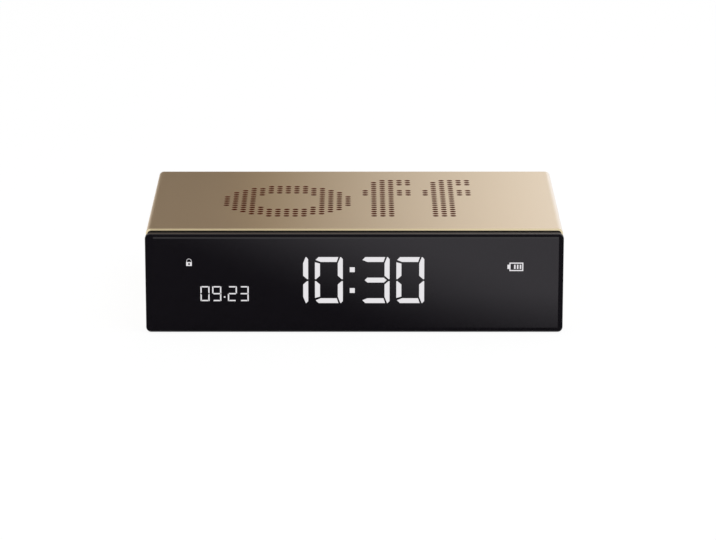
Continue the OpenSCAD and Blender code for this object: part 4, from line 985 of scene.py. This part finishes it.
METAL_CARD_HIGH = "#CECBC4"
EDGE_CARD_SPAN = (0.084, 0.2)
EDGE_CARD_RUN = [(0.255, 0), (0.255, 0.09)]
EDGE_CARD_LIGHT = 1.45
EDGE_CARD_COLOUR = "#EAF3FF"
FRONT_CARD_SPAN = (-1.2, 1.2)
FRONT_CARD_RUN = [(-0.6, 0), (-0.6, 0.7)]
FRONT_CARD_LOW = "#93897C"
FRONT_CARD_WAVE = 0.6
FOOT_FLAG = 4.8 * MM
FLAG_GAP = 2 * MM
BLACK_FLAGS = [
    ("black_flag_top", -73 * MM, 73 * MM, 31.35 * MM, 35.1 * MM),
    ("black_flag_left", -73 * MM, -63 * MM, 0, 31.35 * MM),
    ("black_flag_right", 64.05 * MM, 73 * MM, 0, 31.35 * MM),
]


def glow_card(name, left, right, run, strength, colour=WHITE):
    """A glowing card that only reflections see. Strength and colour are values or functions of the
    material's tree and coordinates."""
    made, tree, _, place = new_material(name, "#000000", 1.0)
    inputs = {"Color": colour, "Strength": strength}
    inputs = {key: value(tree, place) if callable(value) else value for key, value in inputs.items()}
    glow = add_node(tree, "ShaderNodeEmission", inputs)
    feed(tree.nodes["Material Output"], {"Surface": glow[0]})
    card = add_card(name, left, right, run, made)
    card.visible_camera = False
    card.visible_diffuse = False
    card.visible_transmission = False
    card.visible_shadow = False


def lens_light(tree, place):
    """Brightness before the lens: a smooth step across a slanting edge that falls off at the foot, and
    that turns into the white of the floor at the card's front and sides, which spread with distance."""
    axes = add_node(tree, "ShaderNodeSeparateXYZ", {"Vector": place})
    across = add_node(tree, "ShaderNodeVectorMath", {0: place, 1: LENS_CARD_EDGE}, operation="DOT_PRODUCT")
    width = add_node(tree, "ShaderNodeMath", {0: axes["X"]}, operation="ABSOLUTE")["Value"]
    spread = {0: axes["Y"], 1: LENS_CARD_SPREAD, 2: width}
    side = add_node(tree, "ShaderNodeMath", spread, operation="MULTIPLY_ADD")
    fade, beside, before = [
        add_node(
            tree, "ShaderNodeMapRange", {"Value": value, "From Min": start, "From Max": end},
            interpolation_type="SMOOTHSTEP",
        )["Result"]
        for value, (start, end) in [
            (across["Value"], LENS_CARD_FADE),
            (side["Value"], LENS_CARD_SIDE),
            (axes["Y"], LENS_CARD_FRONT),
        ]
    ]
    near = add_node(tree, "ShaderNodeMapRange", {
        "Value": axes["Y"],
        "From Min": lens_low.y - LENS_CARD_FOOT[0],
        "From Max": lens_low.y - LENS_CARD_FOOT[1],
        "To Max": LENS_CARD_LIGHT,
    })
    inner = add_node(tree, "ShaderNodeMath", {0: fade, 1: near["Result"]}, operation="MULTIPLY")
    rim = add_node(tree, "ShaderNodeMath", {0: beside, 1: before}, operation="MAXIMUM")
    both = {0: rim["Value"], 2: inner["Value"], 3: FLOOR_GLOW}
    return add_node(tree, "ShaderNodeMix", both)[0]


def metal_light(tree, place):
    """Colour behind and above: from a brown-grey on the left, paler with height, to white on the right."""
    axes = add_node(tree, "ShaderNodeSeparateXYZ", {"Vector": place})
    rise = {"Value": axes["Z"], "From Min": METAL_CARD_RISE[0], "From Max": METAL_CARD_RISE[1]}
    height = add_node(tree, "ShaderNodeMapRange", rise)["Result"]
    tones = {0: height, 6: linear(METAL_CARD_LOW), 7: linear(METAL_CARD_HIGH)}
    left = add_node(tree, "ShaderNodeMix", tones, data_type="RGBA")[2]
    across = add_node(tree, "ShaderNodeCombineXYZ", {axis: axes["X"] for axis in "XYZ"})["Vector"]
    span = {6: across, 7: METAL_CARD_START, 8: METAL_CARD_END, 9: left, 10: WHITE[:3]}
    return add_node(tree, "ShaderNodeMapRange", span, data_type="FLOAT_VECTOR")["Vector"]


def front_light(tree, place):
    """Colour in front: slow waves across the card between a warm grey and white."""
    wave = {"Vector": place, "Scale": WAVE_BAND / FRONT_CARD_WAVE, "Phase Offset": math.pi / 2}
    waves = add_node(tree, "ShaderNodeTexWave", wave, bands_direction="X")["Fac"]
    tones = {0: waves, 6: linear(FRONT_CARD_LOW), 7: WHITE}
    return add_node(tree, "ShaderNodeMix", tones, data_type="RGBA")[2]


card_back = lens_low.y - CARD_GAP
lens_run = [(LENS_CARD_FRONT[1], CARD_RISE), (card_back, CARD_RISE)]
foot_run = [(lens_low.y - FOOT_FLAG, FLAG_RISE), (card_back, FLAG_RISE)]
glow_card("lens_card", -LENS_CARD_HALF, LENS_CARD_HALF, lens_run, lens_light, linear(LENS_CARD_COLOUR))
glow_card("metal_card", *METAL_CARD_SPAN, METAL_CARD_RUN, strength=1.0, colour=metal_light)
glow_card("edge_card", *EDGE_CARD_SPAN, EDGE_CARD_RUN, EDGE_CARD_LIGHT, linear(EDGE_CARD_COLOUR))
glow_card("front_card", *FRONT_CARD_SPAN, FRONT_CARD_RUN, strength=1.0, colour=front_light)
glow_card("black_flag_foot", lens_low.x, lens_high.x, foot_run, strength=0.0)
flag_y = lens_low.y - FLAG_GAP
for name, left, right, foot, head in BLACK_FLAGS:
    glow_card(name, left, right, [(flag_y, foot), (flag_y, head)], strength=0.0)

# Lamp: one large softbox overhead to the front right. It gives the soft shadow and lights the bores,
# and gloss doesn't see it.
LAMP_PLACE = (0.3, -0.45, 1.15)
LAMP_SIZE = 0.9
LAMP_POWER = 6.0
lamp = bpy.data.objects.new("softbox", bpy.data.lights.new("softbox", "AREA"))
lamp.data.size = LAMP_SIZE
lamp.data.energy = LAMP_POWER
lamp.location = LAMP_PLACE
lamp.rotation_euler = (-lamp.location).to_track_quat("-Z", "Y").to_euler()
lamp.visible_glossy = False
bpy.context.collection.objects.link(lamp)
